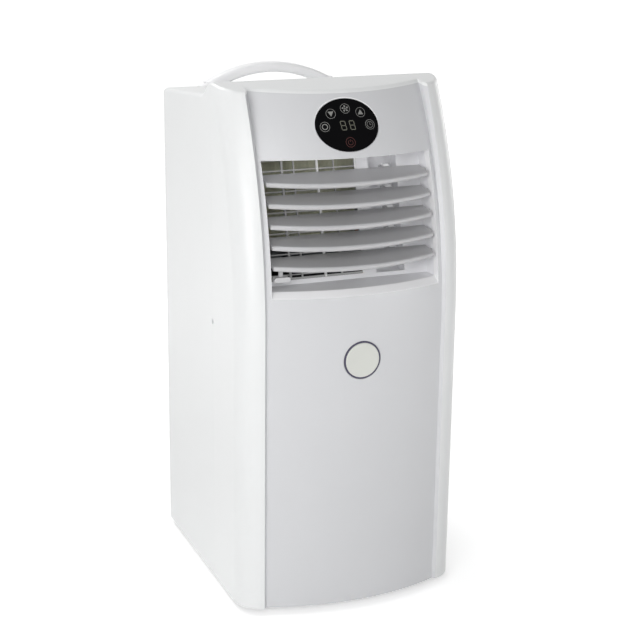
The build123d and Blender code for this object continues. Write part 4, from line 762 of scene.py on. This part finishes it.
redFigures += ringFigure(powerU, powerV + lensPrint["powerRise"],
                         lensPrint["power"], lensPrint["power"] - line, *lensPrint["powerArc"])
redFigures += barFigure(powerU, powerV + lensPrint["powerBarRise"], line, lensPrint["powerBar"])
printFigures("keyPrint", greyFigures, inks["inkGrey"])
printFigures("digitPrint", digitFigures, inks["inkDim"])
printFigures("powerPrint", redFigures, inks["inkRed"])
print("lens printed")


# Floor: its glow makes the white ground, and is weaker near the object so that the shadow shows
stageLook = {
    "half": 20.0, "colour": (0.86, 0.86, 0.86), "roughness": 0.9,
    "nearGlow": 0.5, "farGlow": 1.0, "nearEdge": 0.35, "farEdge": 1.5, "ambient": 0.1,
}
floorMesh = bpy.data.meshes.new("floor")
floorSigns = ((-1, -1), (1, -1), (1, 1), (-1, 1))
floorCorners = [(x * stageLook["half"], y * stageLook["half"], 0) for x, y in floorSigns]
floorMesh.from_pydata(floorCorners, [], [range(4)])
floor = addObject("floor", floorMesh)


# One where a ray comes from the camera or from a gloss, nought for the light between surfaces
def seenDirectly(wire):
    outputs = wire.add("ShaderNodeLightPath").socket.node.outputs
    rays = ("Is Camera Ray", "Is Glossy Ray", "Is Transmission Ray")
    camera, gloss, glass = (Wire(wire.tree, outputs[ray]) for ray in rays)
    return wire.maths("MAXIMUM", wire.maths("MAXIMUM", camera, gloss), glass)


floorMaterial, floorShader, floorWire, floorCoords = startMaterial("paleFloor")
feed(floorShader, "Base Color", rgba(stageLook["colour"]))
feed(floorShader, "Roughness", stageLook["roughness"])
away = floorWire.add("ShaderNodeVectorMath", {"operation": "LENGTH"}, {0: floorCoords}, out="Value")
spread = floorWire.add("ShaderNodeMapRange", {"interpolation_type": "SMOOTHSTEP"}, {
    "Value": away, "From Min": stageLook["nearEdge"], "From Max": stageLook["farEdge"],
    "To Min": stageLook["nearGlow"], "To Max": stageLook["farGlow"]})
glow = seenDirectly(floorWire) * spread
feed(floorShader, "Emission Color", glow.blend(rgba((0, 0, 0)), rgba((1, 1, 1))))
feed(floorShader, "Emission Strength", 1.0)
floorMesh.materials.append(floorMaterial)

world = bpy.data.worlds.new("studio")
bpy.context.scene.world = world
world.use_nodes = True
backdrop = world.node_tree.nodes["Background"]
feed(backdrop, "Color", rgba((1, 1, 1)))
seen = seenDirectly(Wire(world.node_tree))
feed(backdrop, "Strength", seen * (1 - stageLook["ambient"]) + stageLook["ambient"])

# Six round soft lamps about the object, all alike but for place and power
lampLook = {"aim": (0, 0, 0.4), "size": 1.4}
lampPlaces = {
    "keyLamp": {"place": (-1.96, -1.65, 0.85), "power": 26.5},
    "frontLamp": {"place": (-0.95, -2.04, 1.70), "power": 16.5},
    "rightLamp": {"place": (1.65, -1.96, 0.65), "power": 14.0},
    "sideLamp": {"place": (2.05, 0.95, 0.95), "power": 10.0},
    "overLamp": {"place": (-1.47, 0.26, 2.53), "power": 11.5},
    "backLamp": {"place": (-0.57, 1.57, 2.39), "power": 28.0},
}
for name, look in lampPlaces.items():
    lamp = bpy.data.lights.new(name, "AREA")
    lamp.shape = "DISK"
    lamp.size = lampLook["size"]
    lamp.energy = look["power"]
    holder = addObject(name, lamp)
    holder.location = look["place"]
    towards = Vector(lampLook["aim"]) - Vector(look["place"])
    holder.rotation_euler = towards.to_track_quat("-Z", "Y").to_euler()
bpy.context.scene.view_settings.view_transform = "Standard"

# The photograph's viewpoint: place in metres, lens and sensor in millimetres, turns in degrees
viewpoint = {
    "place": (-0.7721, -1.9106, 0.9887), "lens": 86.55, "sensor": 36.0,
    "yaw": 22.39, "pitch": 17.08, "roll": 0.77,
}
yaw, pitch, roll = (math.radians(viewpoint[part]) for part in ("yaw", "pitch", "roll"))
ahead = Vector((math.sin(yaw) * math.cos(pitch), math.cos(yaw) * math.cos(pitch), -math.sin(pitch)))
levelRight = Vector((math.cos(yaw), -math.sin(yaw), 0))
levelUp = levelRight.cross(ahead)
cameraRight = levelRight * math.cos(roll) + levelUp * math.sin(roll)
cameraUp = levelUp * math.cos(roll) - levelRight * math.sin(roll)
camera = bpy.data.cameras.new("photoCamera")
camera.lens = viewpoint["lens"]
camera.sensor_width = viewpoint["sensor"]
cameraHolder = addObject("photoCamera", camera)
turn = Matrix((cameraRight, cameraUp, -ahead)).transposed().to_4x4()
cameraHolder.matrix_world = Matrix.Translation(viewpoint["place"]) @ turn
bpy.context.scene.camera = cameraHolder
print("floor, lamps and camera placed")
